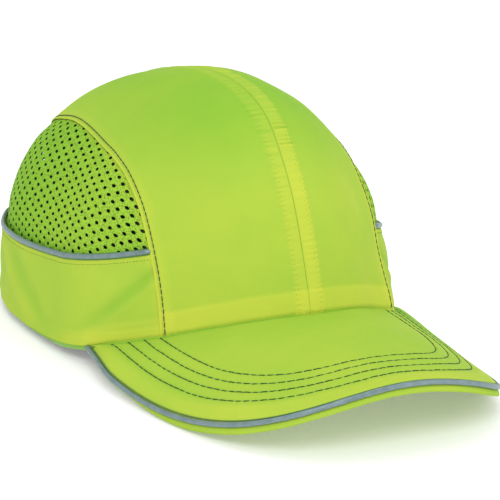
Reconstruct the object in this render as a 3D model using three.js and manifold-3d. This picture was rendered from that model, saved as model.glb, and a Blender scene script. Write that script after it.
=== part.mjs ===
// A baseball-style bump cap: a sewn fabric cap with a curved brim, a removable vented impact
// shell with foam pads, and an adjustable hook-and-loop closure across the rear arch.
//
// Millimetres, +Z up. The wearer faces -Y and the wearer's left is +X. The origin is the centre of
// the head opening, on the plane that the rim and the brim's two low sides rest on.

import * as THREE from 'three';
import { mergeVertices } from 'three/addons/utils/BufferGeometryUtils.js';
import Module from 'manifold-3d';

const wasm = await Module();
wasm.setup();

// ---- Driving dimensions -------------------------------------------------------------------

const DEG = Math.PI / 180;
const GAP = 0.3;                      // clearance between neighbouring solids

// The crown is a dome over a rounded plan. Each end has its own reach, its own meridian curve
// (1 = height^rise + width^taper) and its own corner, which squares (-) or flattens (+) the plan.
const BASE = 11.7;                    // height of the crown's widest section
const LEAN = 10.2;                    // how far the apex sits behind the widest section
const SIDE = { rise: 2.04, taper: 1.82 };
const CROWN = {
  halfWidth: 88.3,
  height: 115.9,
  front: { reach: 91.2, rise: 1.6, taper: 2.88, corner: 0.082 },
  rear: { reach: 122.9, rise: 2.76, taper: 1.82, corner: -0.132 },
  bulge: 7.8,                         // extra roundness of the back of the head
};
const INSERT = {
  halfWidth: 84.8,
  height: 112.5,
  front: { reach: 87.6, rise: 1.6, taper: 2.88, corner: 0.082 },
  rear: { reach: 117.6, rise: 2.76, taper: 1.82, corner: -0.06 },
  bulge: 0,
};

const FABRIC = 1.1;                   // crown fabric with its lining
const LINING_DEPTH = FABRIC + 0.5;    // where tapes and the sweatband start
const TAPE = 0.8;
const SHELL = 2.2;
const PAD_DEPTH = SHELL + 0.9;        // the shell's facets stand in a little between their corners
const PAD = 6;

const SEAM_CENTRE = { y: 9.7, z: 19.5 };  // axis about which the long seams are laid out
const SEAM_HALF = 59.2;               // half the width of the centre panels
const SEAM_DRIFT = { from: 78, easing: 8, perDegree: 0.1455 };  // gentle narrowing over the top
const SEAM_SWEEP = { from: 125, over: 35, by: 23.3 };           // and a quicker one to the arch

const PIPING_R = 1.5;
const PIPING_CLEAR = PIPING_R + GAP;
const BRIM_PIPING_R = 1.6;

const ARCH = { half: 46, foot: 8, rise: 51 };   // rear opening
const ARCH_BINDING_R = 1.2;
const ARCH_EDGE = ARCH_BINDING_R + GAP;

const BRIM = { half: 87.2, rear: -20.4, reach: 157.9, square: 3.0 };
const BRIM_ASIDE = -2;               // the brim is sewn a little towards the wearer's right
const BRIM_TOP = 1.2;                 // cover's outer face above the brim's datum surface
const BRIM_COVER = 0.9;
const BRIM_BOARD = 1.8;
const BRIM_GAP = 0.4;
const BRIM_LIP = 0.9;                 // inset of the under cover's edge, below the piping
const BRIM_END = 79 * DEG;            // where the brim's layers end along its outline
const BRIM_JOIN = 67 * DEG;           // the crown angle those ends meet
const BRIM_DROP = 7.8;                // how far the piping's ends dip to pass under the rim

const BINDING = { depth: LINING_DEPTH, thick: 1.6, below: 4.1, above: 2.5, start: 80 * DEG };
const SWEATBAND = { thick: 1.4, height: 30, end: 133 * DEG };

// The closure's layers lie on circles about one vertical axis, so they slide past each other.
const CLOSURE = { y: 22.5, low: 11.5, high: 33.5, outer: 103.6, strap: 1.2, pile: 0.8 };

// ---- Small helpers ------------------------------------------------------------------------

const mix = (a, b, t) => a + (b - a) * t;
const clamp = (value, low, high) => Math.min(high, Math.max(low, value));

function smooth(value) {
  const t = clamp(value, 0, 1);
  return t * t * (3 - 2 * t);
}

// The value between low and high where test() turns from true to false.
function bisect(low, high, test) {
  let a = low;
  let b = high;
  for (let step = 0; step < 40; step += 1) {
    const middle = (a + b) / 2;
    if (test(middle)) a = middle;
    else b = middle;
  }
  return (a + b) / 2;
}

// ---- The crown's surface ------------------------------------------------------------------

// phi is the plan angle, 0 at the front and 180 degrees at the rear, positive to the left.
const endOf = (form, ahead) => (ahead > 0 ? form.front : form.rear);

function cornerAt(form, phi) {
  return 1 - endOf(form, Math.cos(phi)).corner * Math.sin(2 * phi) ** 2;
}

function bulgeAt(form, phi) {
  return form.bulge * Math.max(0, (-Math.cos(phi) - 0.7) / 0.3) ** 2;
}

function shrinkAt(form, phi, z) {
  const ahead = Math.cos(phi);
  const end = endOf(form, ahead);
  const rise = mix(SIDE.rise, end.rise, ahead * ahead);
  const taper = mix(SIDE.taper, end.taper, ahead * ahead);
  const h = clamp((z - BASE) / form.height, 0, 1);
  return (1 - h ** rise) ** (1 / taper);
}

const leanAt = (form, z) => LEAN * clamp((z - BASE) / form.height, 0, 1);

function surface(form, phi, z) {
  const ahead = Math.cos(phi);
  const shrink = shrinkAt(form, phi, z);
  const corner = cornerAt(form, phi);
  const x = form.halfWidth * shrink * Math.sin(phi) * corner;
  const along = bulgeAt(form, phi) - endOf(form, ahead).reach * ahead * corner;
  return new THREE.Vector3(x, leanAt(form, z) + shrink * along, z);
}

// A point moved off the form's surface by a depth, along the normal of a matching ellipsoid.
function inward(form, point, depth) {
  const y = point.y - leanAt(form, point.z);
  const normal = new THREE.Vector3(
    point.x / form.halfWidth ** 2,
    y / endOf(form, -y).reach ** 2,
    Math.max(0, point.z - BASE) / form.height ** 2,
  );
  return point.clone().addScaledVector(normal.normalize(), -depth);
}

const layer = (form, phi, z, depth) => inward(form, surface(form, phi, z), depth);

// The plan angle of a point, found by settling the bulge's share of its distance.
function angleOf(form, point) {
  const y = point.y - leanAt(form, point.z);
  const reach = endOf(form, -y).reach;
  let phi = Math.atan2(point.x / form.halfWidth, -y / reach);
  for (let step = 0; step < 8; step += 1) {
    const ahead = Math.max(1e-6, Math.abs(Math.cos(phi)));
    const grown = reach + bulgeAt(form, phi) / (ahead * cornerAt(form, phi));
    phi = Math.atan2(point.x / form.halfWidth, -y / grown);
  }
  return phi;
}

function isInside(form, point) {
  if (point.z > BASE + form.height) return false;
  const edge = surface(form, angleOf(form, point), point.z);
  const lean = leanAt(form, point.z);
  return Math.hypot(point.x, point.y - lean) < Math.hypot(edge.x, edge.y - lean);
}

// Seen from the side, turn runs from 0 at the front over the top to 180 degrees at the rear.
function overTop(x, turn, depth) {
  const at = (r) => new THREE.Vector3(
    x,
    SEAM_CENTRE.y - r * Math.cos(turn),
    SEAM_CENTRE.z + r * Math.sin(turn),
  );
  return inward(CROWN, at(bisect(10, 160, (r) => isInside(CROWN, at(r)))), depth);
}

const rimHeight = (phi) => 13 + 10.73 * Math.cos(phi) + 7.17 * Math.cos(2 * phi);
const pipingHeight = (phi) => 50.4 + 16.3 * Math.cos(phi) + 3.26 * Math.cos(2 * phi);
const brimRootHeight = (phi) => 35.4 - 25.35 * Math.sin(phi) ** 2;

function archHeight(x, margin) {
  const across = clamp(x / (ARCH.half + margin), -1, 1);
  return ARCH.foot + (ARCH.rise + margin) * Math.sqrt(1 - across * across);
}

function archHalfAt(z, margin) {
  const up = clamp((z - ARCH.foot) / (ARCH.rise + margin), 0, 1);
  return (ARCH.half + margin) * Math.sqrt(1 - up * up);
}

// The plan angle, behind the sides, at which the crown is a given distance off its middle.
function rearAngle(x, z) {
  return bisect(100 * DEG, 180 * DEG, (phi) => surface(CROWN, phi, z).x > x);
}

// ---- The long side seam, from the brim over the top to the rear arch ----------------------

function seamOffset(turn) {
  const past = Math.max(0, turn / DEG - SEAM_DRIFT.from);
  const late = Math.max(0, turn / DEG - SEAM_SWEEP.from) / SEAM_SWEEP.over;
  const drift = (SEAM_DRIFT.perDegree * past * past) / (past + SEAM_DRIFT.easing);
  return SEAM_HALF - drift - SEAM_SWEEP.by * late * late;
}

function seamPoint(turn, margin) {
  return overTop(seamOffset(turn) + margin, turn, 0);
}

function footTurn(x, above) {
  const low = (turn) => {
    const point = overTop(x, turn, 0);
    return point.z < rimHeight(angleOf(CROWN, point)) + above;
  };
  return bisect(-14 * DEG, 40 * DEG, low);
}

function archTurn(x) {
  return bisect(110 * DEG, 178 * DEG, (turn) => overTop(x, turn, 0).z > archHeight(x, ARCH_EDGE));
}

const SEAM_REAR = bisect(130 * DEG, 170 * DEG, (turn) => {
  const point = seamPoint(turn, 0);
  return point.z > archHeight(point.x, ARCH_EDGE);
});

// Where the seam passes a height above the side piping.
function seamTurnAtPiping(above) {
  return bisect(10 * DEG, 80 * DEG, (turn) => {
    const point = seamPoint(turn, 0);
    return point.z < pipingHeight(angleOf(CROWN, point)) + above;
  });
}

// ---- Solids -------------------------------------------------------------------------------

function signedVolume(geometry) {
  const p = geometry.attributes.position;
  const index = geometry.index.array;
  const corner = [0, 1, 2].map(() => new THREE.Vector3());
  let total = 0;
  for (let i = 0; i < index.length; i += 3) {
    corner.forEach((vertex, k) => vertex.fromBufferAttribute(p, index[i + k]));
    total += corner[0].dot(corner[1].cross(corner[2])) / 6;
  }
  return total;
}

// One closed body: shared vertices merged, slivers dropped, faces turned outwards.
function weld(source) {
  source.deleteAttribute('normal');
  source.deleteAttribute('uv');
  const geometry = mergeVertices(source, 1e-3);
  const kept = [];
  const index = geometry.index.array;
  for (let i = 0; i < index.length; i += 3) {
    const [a, b, c] = [index[i], index[i + 1], index[i + 2]];
    if (a !== b && b !== c && c !== a) kept.push(a, b, c);
  }
  geometry.setIndex(kept);
  if (signedVolume(geometry) < 0) {
    for (let i = 0; i < kept.length; i += 3) [kept[i], kept[i + 1]] = [kept[i + 1], kept[i]];
    geometry.setIndex(kept);
  }
  geometry.computeVertexNormals();
  return geometry;
}

// A sheet or pad: pointAt(u, v, w) with u and v along it and w from its outer to its inner face.
function sheet(uSteps, vSteps, pointAt) {
  const geometry = new THREE.BoxGeometry(1, 1, 1, uSteps, vSteps, 1);
  const p = geometry.attributes.position;
  for (let i = 0; i < p.count; i += 1) {
    const point = pointAt(p.getX(i) + 0.5, p.getY(i) + 0.5, p.getZ(i) + 0.5);
    p.setXYZ(i, point.x, point.y, point.z);
  }
  return weld(geometry);
}

// A round solid: pointAt(phi, r, w) with r from 0 at the middle to 1 at the edge.
function roundSolid(rings, segments, pointAt) {
  const profile = [];
  for (let i = 0; i <= rings; i += 1) profile.push(new THREE.Vector2(i / rings, 0));
  for (let i = rings; i >= 0; i -= 1) profile.push(new THREE.Vector2(i / rings, 1));
  const geometry = new THREE.LatheGeometry(profile, segments);
  const p = geometry.attributes.position;
  for (let i = 0; i < p.count; i += 1) {
    const radius = Math.hypot(p.getX(i), p.getZ(i));
    const point = pointAt(Math.atan2(p.getX(i), p.getZ(i)), radius, p.getY(i));
    p.setXYZ(i, point.x, point.y, point.z);
  }
  return weld(geometry);
}

function roundTube(points, radius, sides, steps) {
  const corners = [];
  for (let i = 0; i < sides; i += 1) {
    const angle = (i / sides) * 2 * Math.PI;
    corners.push(new THREE.Vector2(radius * Math.cos(angle), radius * Math.sin(angle)));
  }
  const extrudePath = new THREE.CatmullRomCurve3(points);
  return weld(new THREE.ExtrudeGeometry(new THREE.Shape(corners), { steps, extrudePath }));
}

function toManifold(geometry) {
  const vertProperties = Float32Array.from(geometry.attributes.position.array);
  const triVerts = Uint32Array.from(geometry.index.array);
  return new wasm.Manifold(new wasm.Mesh({ numProp: 3, vertProperties, triVerts }));
}

function fromManifold(solid) {
  const mesh = solid.getMesh();
  const geometry = new THREE.BufferGeometry();
  geometry.setAttribute('position', new THREE.BufferAttribute(mesh.vertProperties, 3));
  geometry.setIndex(Array.from(mesh.triVerts));
  return weld(geometry);
}

// ---- Materials ----------------------------------------------------------------------------

const material = (color, roughness, metalness = 0) => (
  () => new THREE.MeshStandardMaterial({ color, roughness, metalness })
);
const LIME = material(0xb9d84c, 0.62);
const LIME_DARK = material(0x7fae35, 0.7);
const MESH_FABRIC = material(0x9cc540, 0.8);
const REFLECTIVE = material(0x8aa0a6, 0.35);
const TERRY = material(0x3a3d3f, 0.95);
const HOOK = material(0x2b2d2e, 0.9);
const BOARD = material(0xe4e6df, 0.5);
const ABS = material(0x26282a, 0.4);
const FOAM = material(0x3c3f42, 0.92);

const cap = new THREE.Group();

function add(name, geometry, makeMaterial) {
  const mesh = new THREE.Mesh(geometry, makeMaterial());
  mesh.name = name;
  cap.add(mesh);
}

// Adds a left piece and its mirror image on the right.
function addPair(name, geometry, makeMaterial) {
  add(`${name}_left`, geometry, makeMaterial);
  const mirrored = geometry.clone();
  mirrored.scale(-1, 1, 1);
  add(`${name}_right`, weld(mirrored), makeMaterial);
}

// ---- Crown panels -------------------------------------------------------------------------

function centrePanel() {
  const half = GAP / 2;
  return sheet(26, 7, (u, v, w) => {
    const start = footTurn(v * SEAM_HALF, 0);
    const end = archTurn(v * seamOffset(SEAM_REAR));
    const turn = mix(start, end, u);
    const x = mix(half, seamOffset(turn) - half, v);
    return overTop(x, turn, w * FABRIC);
  });
}

function meshPanel() {
  const front = seamTurnAtPiping(PIPING_CLEAR + 2);
  const corner = seamPoint(front, GAP / 2);
  const frontAngle = angleOf(CROWN, corner);
  const rearTop = pipingHeight(Math.PI) + PIPING_CLEAR;
  const rear = rearAngle(archHalfAt(rearTop, 2 * ARCH_EDGE), rearTop);
  return sheet(18, 6, (u, v, w) => {
    const top = seamPoint(mix(front, SEAM_REAR - 3 * DEG, u), GAP / 2);
    const topAngle = angleOf(CROWN, top);
    const lowAngle = mix(frontAngle, rear, u);
    const low = pipingHeight(lowAngle) + PIPING_CLEAR;
    return layer(CROWN, mix(topAngle, lowAngle, v), mix(top.z, low, v), w * FABRIC);
  });
}

function bandHeight(phi, v) {
  return mix(pipingHeight(phi) - PIPING_CLEAR, rimHeight(phi), v);
}

function bandFrontAngle(v) {
  let phi = 50 * DEG;
  for (let step = 0; step < 4; step += 1) {
    const z = bandHeight(phi, v);
    const turn = bisect(-14 * DEG, 80 * DEG, (t) => seamPoint(t, GAP / 2).z < z);
    phi = angleOf(CROWN, seamPoint(turn, GAP / 2));
  }
  return phi;
}

function bandRearAngle(v) {
  let phi = 150 * DEG;
  for (let step = 0; step < 4; step += 1) {
    const z = bandHeight(phi, v);
    phi = rearAngle(archHalfAt(z, ARCH_EDGE), z);
  }
  return phi;
}

function sideBand() {
  const rows = 6;
  const edges = [];
  for (let i = 0; i <= rows; i += 1) {
    edges.push([bandFrontAngle(i / rows), bandRearAngle(i / rows)]);
  }
  return sheet(20, rows, (u, v, w) => {
    const [front, rear] = edges[Math.round(v * rows)];
    const phi = mix(front, rear, u);
    return layer(CROWN, phi, bandHeight(phi, v), w * FABRIC);
  });
}

function sidePiping() {
  const front = angleOf(CROWN, seamPoint(seamTurnAtPiping(0), 1.5));
  const z = pipingHeight(Math.PI);
  const rear = rearAngle(archHalfAt(z, 2 * ARCH_EDGE), z);
  const points = [];
  for (let i = 0; i <= 24; i += 1) {
    const phi = mix(front, rear, i / 24);
    points.push(surface(CROWN, phi, pipingHeight(phi)));
  }
  return roundTube(points, PIPING_R, 8, 24);
}

addPair('crown_panel', centrePanel(), LIME);
addPair('mesh_panel', meshPanel(), MESH_FABRIC);
addPair('side_band', sideBand(), LIME);
addPair('side_piping', sidePiping(), REFLECTIVE);

// ---- Tapes inside the seams ---------------------------------------------------------------

const TAPE_FOOT = SWEATBAND.height + BINDING.above + 2 * GAP + 1;

function centreTape() {
  const half = 9;
  const start = footTurn(0, TAPE_FOOT);
  const end = archTurn(half) - 2 * DEG;
  return sheet(24, 2, (u, v, w) => (
    overTop(mix(-half, half, v), mix(start, end, u), LINING_DEPTH + w * TAPE)
  ));
}

function sideTape() {
  const half = 4;
  const start = footTurn(SEAM_HALF, TAPE_FOOT + 2);
  const end = SEAM_REAR - 3 * DEG;
  return sheet(22, 1, (u, v, w) => {
    const turn = mix(start, end, u);
    return overTop(seamOffset(turn) + mix(-half, half, v), turn, LINING_DEPTH + GAP + w * TAPE);
  });
}

add('centre_seam_tape', centreTape(), LIME);
addPair('side_seam_tape', sideTape(), LIME);

// ---- Rim ----------------------------------------------------------------------------------

// The binding's lowest stretch is flat, where the cap stands on its rim.
function rimBinding() {
  const end = rearAngle(ARCH.half + 1, ARCH.foot);
  return sheet(22, 1, (u, v, w) => {
    const phi = mix(BINDING.start, end, u);
    const low = Math.max(0, rimHeight(phi) - BINDING.below);
    const z = mix(rimHeight(phi) + BINDING.above, low, v);
    return layer(CROWN, phi, z, BINDING.depth + w * BINDING.thick);
  });
}

function sweatband() {
  return sheet(44, 3, (u, v, w) => {
    const phi = mix(-SWEATBAND.end, SWEATBAND.end, u);
    const z = rimHeight(phi) + BINDING.above + GAP + v * SWEATBAND.height;
    return layer(CROWN, phi, z, LINING_DEPTH + w * SWEATBAND.thick);
  });
}

function archBinding() {
  const points = [];
  for (let i = 0; i <= 20; i += 1) {
    const angle = mix(0, 180, i / 20) * DEG;
    const x = ARCH.half * Math.cos(angle);
    const z = ARCH.foot + ARCH.rise * Math.sin(angle);
    const phi = rearAngle(Math.abs(x), z) * Math.sign(x || 1);
    points.push(layer(CROWN, phi, z, FABRIC / 2));
  }
  return roundTube(points, ARCH_BINDING_R, 8, 24);
}

addPair('rim_binding', rimBinding(), LIME_DARK);
add('sweatband', sweatband(), TERRY);
add('rear_arch_binding', archBinding(), LIME_DARK);

// ---- Brim ---------------------------------------------------------------------------------

// The brim's datum surface, which its piping follows: arched across, level to the front.
function brimHeight(x, y) {
  const ahead = (-y - 106.7) / 77.6;
  return 36 - 40 * Math.abs(x / 92.2) ** 2.04 - 7.6 * ahead + 2.33 * ahead * ahead;
}

// A point of the outline, inset from the piping's centre line; angle is 0 at the front.
function brimEdge(angle, inset) {
  const s = Math.sin(angle);
  const c = Math.cos(angle);
  const grow = (Math.abs(s) ** BRIM.square + Math.abs(c) ** BRIM.square) ** (-1 / BRIM.square);
  const y = BRIM.rear - (BRIM.reach - inset) * c * grow;
  const pinch = 1 - 0.045 * smooth((y + 58) / 37.6);
  const x = (BRIM.half - inset) * s * grow * pinch;
  const drop = BRIM_DROP * smooth((Math.abs(angle) / DEG - 78) / 12);
  const aside = BRIM_ASIDE * smooth((BRIM.rear - y) / 45);
  return new THREE.Vector3(x + aside, y, brimHeight(x, y) - drop);
}

// A layer of the brim between two offsets from the datum surface.
function brimLayer(top, thickness, inset) {
  return sheet(30, 7, (u, v, w) => {
    const offset = top - w * thickness;
    const angle = mix(-BRIM_END, BRIM_END, u);
    const join = mix(-BRIM_JOIN, BRIM_JOIN, u);
    const rootZ = brimRootHeight(join) - BRIM_TOP + offset;
    const root = layer(CROWN, join, rootZ, -GAP);
    const edge = brimEdge(angle, inset);
    const x = mix(root.x, edge.x, v);
    const y = mix(root.y, edge.y, v);
    const rootError = rootZ - offset - brimHeight(root.x, root.y);
    const edgeError = edge.z - brimHeight(edge.x, edge.y);
    const z = brimHeight(x, y) + offset + rootError * (1 - v) ** 2 + edgeError * v * v;
    return new THREE.Vector3(x, y, z);
  });
}

function brimPiping() {
  const points = [];
  for (let i = 0; i <= 48; i += 1) points.push(brimEdge(mix(-90, 90, i / 48) * DEG, 0));
  return roundTube(points, BRIM_PIPING_R, 8, 48);
}

const BOARD_TOP = BRIM_TOP - BRIM_COVER - BRIM_GAP;
const UNDER_TOP = BOARD_TOP - BRIM_BOARD - 1.5 * BRIM_GAP;
add('brim_top_cover', brimLayer(BRIM_TOP, BRIM_COVER, BRIM_PIPING_R + GAP), LIME);
add('brim_board', brimLayer(BOARD_TOP, BRIM_BOARD, BRIM_PIPING_R + GAP), BOARD);
add('brim_under_cover', brimLayer(UNDER_TOP, BRIM_COVER, BRIM_LIP), LIME);
add('brim_piping', brimPiping(), REFLECTIVE);

// ---- Rear closure -------------------------------------------------------------------------

// A band of the closure between two angles off the rear, which are positive to the left.
function closureBand(outer, thick, fromDeg, toDeg, inset, steps) {
  return sheet(steps, 1, (u, v, w) => {
    const angle = mix(fromDeg, toDeg, u) * DEG;
    const radius = outer - w * thick;
    const z = mix(CLOSURE.low + inset, CLOSURE.high - inset, v);
    return new THREE.Vector3(radius * Math.sin(angle), CLOSURE.y + radius * Math.cos(angle), z);
  });
}

const HOOK_OUTER = CLOSURE.outer - CLOSURE.strap - GAP;
const LOOP_OUTER = HOOK_OUTER - CLOSURE.pile - GAP;
const LOOP_STRAP_OUTER = LOOP_OUTER - CLOSURE.pile - GAP;
const FLAP_END = -17;                 // the free end, short enough to stay in the arch
const FLAP_ROOT = 18;                 // where the flap starts to peel
const ROOT_END = 35;                  // hidden inside the side band

add('strap_root', closureBand(CLOSURE.outer, CLOSURE.strap, FLAP_ROOT + 0.2, ROOT_END, 0, 4), LIME);
add('strap_flap', closureBand(CLOSURE.outer, CLOSURE.strap, FLAP_END, FLAP_ROOT - 0.2, 0, 16), LIME);
add('hook_patch', closureBand(HOOK_OUTER, CLOSURE.pile, FLAP_END + 2, 10, 2, 12), HOOK);
add('loop_patch', closureBand(LOOP_OUTER, CLOSURE.pile, -24, 12, 2, 14), HOOK);
add('loop_strap', closureBand(LOOP_STRAP_OUTER, CLOSURE.strap, -30, 14, 0, 16), LIME);

// ---- Impact insert ------------------------------------------------------------------------

// The shell's lower edge clears the rim all round and steps up over the rear arch.
function shellEdgeHeight(phi) {
  const around = Math.abs(phi) / DEG;
  return mix(rimHeight(phi) + 11, 46, smooth((around - 112) / 40));
}

// The meridian's own angle runs from 0 at the apex to the lower edge.
function shellPoint(phi, r, depth) {
  const ahead = Math.cos(phi);
  const rise = mix(SIDE.rise, endOf(INSERT, ahead).rise, ahead * ahead);
  const edge = Math.acos(((shellEdgeHeight(phi) - BASE) / INSERT.height) ** (rise / 2));
  const z = BASE + INSERT.height * Math.cos(edge * r) ** (2 / rise);
  return layer(INSERT, phi, z, depth);
}

function ventCutter(phi, r, length, width) {
  const outer = shellPoint(phi, r, -4);
  const inner = shellPoint(phi, r, SHELL + 4);
  const ahead = shellPoint(phi, r + 0.02, -4).sub(outer).normalize();
  const out = outer.clone().sub(inner);
  const depth = out.length();
  out.normalize();
  const across = new THREE.Vector3().crossVectors(out, ahead).normalize();
  const down = new THREE.Vector3().crossVectors(across, out);
  const cutter = new THREE.CylinderGeometry(width / 2, width / 2, depth, 10);
  cutter.scale(1, 1, length / width);
  cutter.applyMatrix4(new THREE.Matrix4().makeBasis(across, out, down));
  const middle = outer.add(inner).multiplyScalar(0.5);
  cutter.translate(middle.x, middle.y, middle.z);
  return toManifold(weld(cutter));
}

const VENTS = [
  { angle: 22, r: 0.42 }, { angle: 62, r: 0.46 }, { angle: 100, r: 0.46 }, { angle: 142, r: 0.42 },
  { angle: 45, r: 0.66 }, { angle: 84, r: 0.7 }, { angle: 120, r: 0.68 },
];

function impactShell() {
  let shell = toManifold(roundSolid(9, 48, (phi, r, w) => shellPoint(phi, r, w * SHELL)));
  for (const vent of VENTS) {
    for (const side of [1, -1]) {
      shell = shell.subtract(ventCutter(side * vent.angle * DEG, vent.r, 17, 8));
    }
  }
  return fromManifold(shell);
}

// A foam pad on the shell's inner face, between two plan angles and two heights.
function wallPad(fromDeg, toDeg, low, high, steps) {
  return sheet(steps, 3, (u, v, w) => (
    layer(INSERT, mix(fromDeg, toDeg, u) * DEG, mix(low, high, v), PAD_DEPTH + w * PAD)
  ));
}

// The crown pad fills the dome's top down to a flat face, which meets the head.
function crownPad() {
  const radius = 30;
  const face = 108;
  return roundSolid(3, 20, (phi, r, w) => {
    const x = radius * r * Math.sin(phi);
    const y = LEAN - radius * r * Math.cos(phi);
    const under = (z) => isInside(INSERT, new THREE.Vector3(x, y, z));
    return new THREE.Vector3(x, y, w > 0.5 ? face : bisect(80, 130, under) - 1.15 * PAD_DEPTH);
  });
}

add('impact_shell', impactShell(), ABS);
add('crown_pad', crownPad(), FOAM);
add('front_pad', wallPad(-38, 38, 47, 78, 10), FOAM);
addPair('side_pad', wallPad(62, 108, 40, 72, 6), FOAM);
add('rear_pad', wallPad(148, 212, 53, 84, 8), FOAM);

export default cap;
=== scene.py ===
"""Looks for a bump cap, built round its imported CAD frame.

Lengths are in millimetres until an object is made, and the frame's are in metres. The wearer faces
-Y, the wearer's left is +X, and the cap stands on Z = 0.
"""

import math

import bmesh
import bpy
import numpy as np
from mathutils import Matrix, Vector
from mathutils.bvhtree import BVHTree


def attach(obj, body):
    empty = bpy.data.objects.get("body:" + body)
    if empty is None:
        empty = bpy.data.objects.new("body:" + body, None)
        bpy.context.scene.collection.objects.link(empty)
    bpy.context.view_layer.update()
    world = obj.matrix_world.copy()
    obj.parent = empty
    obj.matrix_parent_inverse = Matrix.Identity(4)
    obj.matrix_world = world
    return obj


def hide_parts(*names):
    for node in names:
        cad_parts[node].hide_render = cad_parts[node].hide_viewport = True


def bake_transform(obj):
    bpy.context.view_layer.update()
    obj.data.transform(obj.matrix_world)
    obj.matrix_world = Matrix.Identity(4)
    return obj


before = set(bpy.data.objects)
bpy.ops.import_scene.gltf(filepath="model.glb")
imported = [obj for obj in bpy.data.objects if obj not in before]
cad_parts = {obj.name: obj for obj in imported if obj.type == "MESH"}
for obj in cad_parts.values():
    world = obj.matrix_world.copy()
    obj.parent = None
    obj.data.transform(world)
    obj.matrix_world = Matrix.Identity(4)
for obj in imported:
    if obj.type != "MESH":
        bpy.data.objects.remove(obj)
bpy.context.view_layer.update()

MM = 0.001
DEG = math.pi / 180

# ---- Camera ----------------------------------------------------------------------------------

CAMERA_AIM = (8.3, -13.3, 44.4)
CAMERA_DISTANCE = 1455
CAMERA_AZIMUTH = -29.8
CAMERA_ELEVATION = 16.74
CAMERA_ROLL = 2.633
CAMERA_LENS, CAMERA_SENSOR = 216.16, 36


def make_camera():
    data = bpy.data.cameras.new("camera")
    data.lens = CAMERA_LENS
    data.sensor_width = CAMERA_SENSOR
    data.clip_end = 20
    camera = bpy.data.objects.new("camera", data)
    bpy.context.scene.collection.objects.link(camera)
    az, el = CAMERA_AZIMUTH * DEG, CAMERA_ELEVATION * DEG
    back = Vector((math.sin(az) * math.cos(el), -math.cos(az) * math.cos(el), math.sin(el)))
    turn = back.to_track_quat("Z", "Y").to_matrix().to_4x4()
    roll = Matrix.Rotation(CAMERA_ROLL * DEG, 4, "Z")
    place = Vector(CAMERA_AIM) * MM + back * CAMERA_DISTANCE * MM
    camera.matrix_world = Matrix.Translation(place) @ turn @ roll
    bpy.context.scene.camera = camera


make_camera()

# ---- Shape of the crown, as the CAD has it ---------------------------------------------------

BASE = 11.7                           # height of the crown's widest section
LEAN = 10.2                           # how far the apex sits behind it
SIDE_RISE, SIDE_TAPER = 2.04, 1.82
REACH, RISE, TAPER, CORNER = range(4)  # what the front and the rear of a form are given by
CROWN = {
    "half": 88.3, "height": 115.9, "bulge": 7.8,
    "front": (91.2, 1.6, 2.88, 0.082),
    "rear": (122.9, 2.76, 1.82, -0.132),
}
INSERT = {
    "half": 84.8, "height": 112.5, "bulge": 0,
    "front": (87.6, 1.6, 2.88, 0.082),
    "rear": (117.6, 2.76, 1.82, -0.06),
}
SEAM_Y, SEAM_Z = 9.7, 19.5            # axis about which the long seams are laid out
SEAM_HALF = 59.2
INNER_POINT = np.array([0.0, 15.0, 30.0])


def smooth(t):
    t = np.clip(t, 0, 1)
    return t * t * (3 - 2 * t)


def bell(d, width):
    return np.exp(-((d / width) ** 2))


def ripple(turns):
    return np.sin(2 * np.pi * turns)


def bisect(low, high, test, steps=24):
    """Elementwise place between low and high where test() turns from true to false."""
    low, high = np.asarray(low, float), np.asarray(high, float)
    for _ in range(steps):
        middle = (low + high) / 2
        yes = test(middle)
        low, high = np.where(yes, middle, low), np.where(yes, high, middle)
    return (low + high) / 2


def end_value(form, ahead, index):
    """One of the form's measures at its front or its rear, by the sign of ahead."""
    return np.where(ahead > 0, form["front"][index], form["rear"][index])


def corner_of(form, phi):
    return 1 - end_value(form, np.cos(phi), CORNER) * np.sin(2 * phi) ** 2


def bulge_of(form, phi):
    return form["bulge"] * np.maximum(0, (-np.cos(phi) - 0.7) / 0.3) ** 2


def lean_of(form, z):
    return LEAN * np.clip((z - BASE) / form["height"], 0, 1)


def surface(form, phi, z):
    """The dome's surface at plan angle phi (0 front, 180 degrees rear, + left) and height z."""
    phi, z = np.broadcast_arrays(np.asarray(phi, float), np.asarray(z, float))
    ahead = np.cos(phi)
    w = ahead * ahead
    rise = SIDE_RISE * (1 - w) + end_value(form, ahead, RISE) * w
    taper = SIDE_TAPER * (1 - w) + end_value(form, ahead, TAPER) * w
    h = np.clip((z - BASE) / form["height"], 0, 1)
    shrink = (1 - h ** rise) ** (1 / taper)
    corner = corner_of(form, phi)
    x = form["half"] * shrink * np.sin(phi) * corner
    along = bulge_of(form, phi) - end_value(form, ahead, REACH) * ahead * corner
    return np.stack([x, lean_of(form, z) + shrink * along, z], -1)


def angle_of(form, p):
    """The plan angle of points on the form's surface."""
    y = p[..., 1] - lean_of(form, p[..., 2])
    reach = end_value(form, -y, REACH)
    phi = np.arctan2(p[..., 0] / form["half"], -y / reach)
    for _ in range(8):                # the rear's bulge depends on the angle itself
        ahead = np.maximum(1e-6, np.abs(np.cos(phi)))
        grown = reach + bulge_of(form, phi) / (ahead * corner_of(form, phi))
        phi = np.arctan2(p[..., 0] / form["half"], -y / grown)
    return phi


def is_inside(form, p):
    """Whether points lie within the form's section at their height."""
    edge = surface(form, angle_of(form, p), p[..., 2])
    lean = lean_of(form, p[..., 2])
    here = np.hypot(p[..., 0], p[..., 1] - lean)
    limit = np.hypot(edge[..., 0], edge[..., 1] - lean)
    return (here < limit) & (p[..., 2] < BASE + form["height"])


def over_top(x, turn):
    """A point of the crown, x off its middle; turn is 0 at the front, 180 degrees at the rear."""
    x, turn = np.broadcast_arrays(np.asarray(x, float), np.asarray(turn, float))

    def at(r):
        return np.stack([x, SEAM_Y - r * np.cos(turn), SEAM_Z + r * np.sin(turn)], -1)

    return at(bisect(10.0, 160.0, lambda r: is_inside(CROWN, at(r)), 34))


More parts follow.
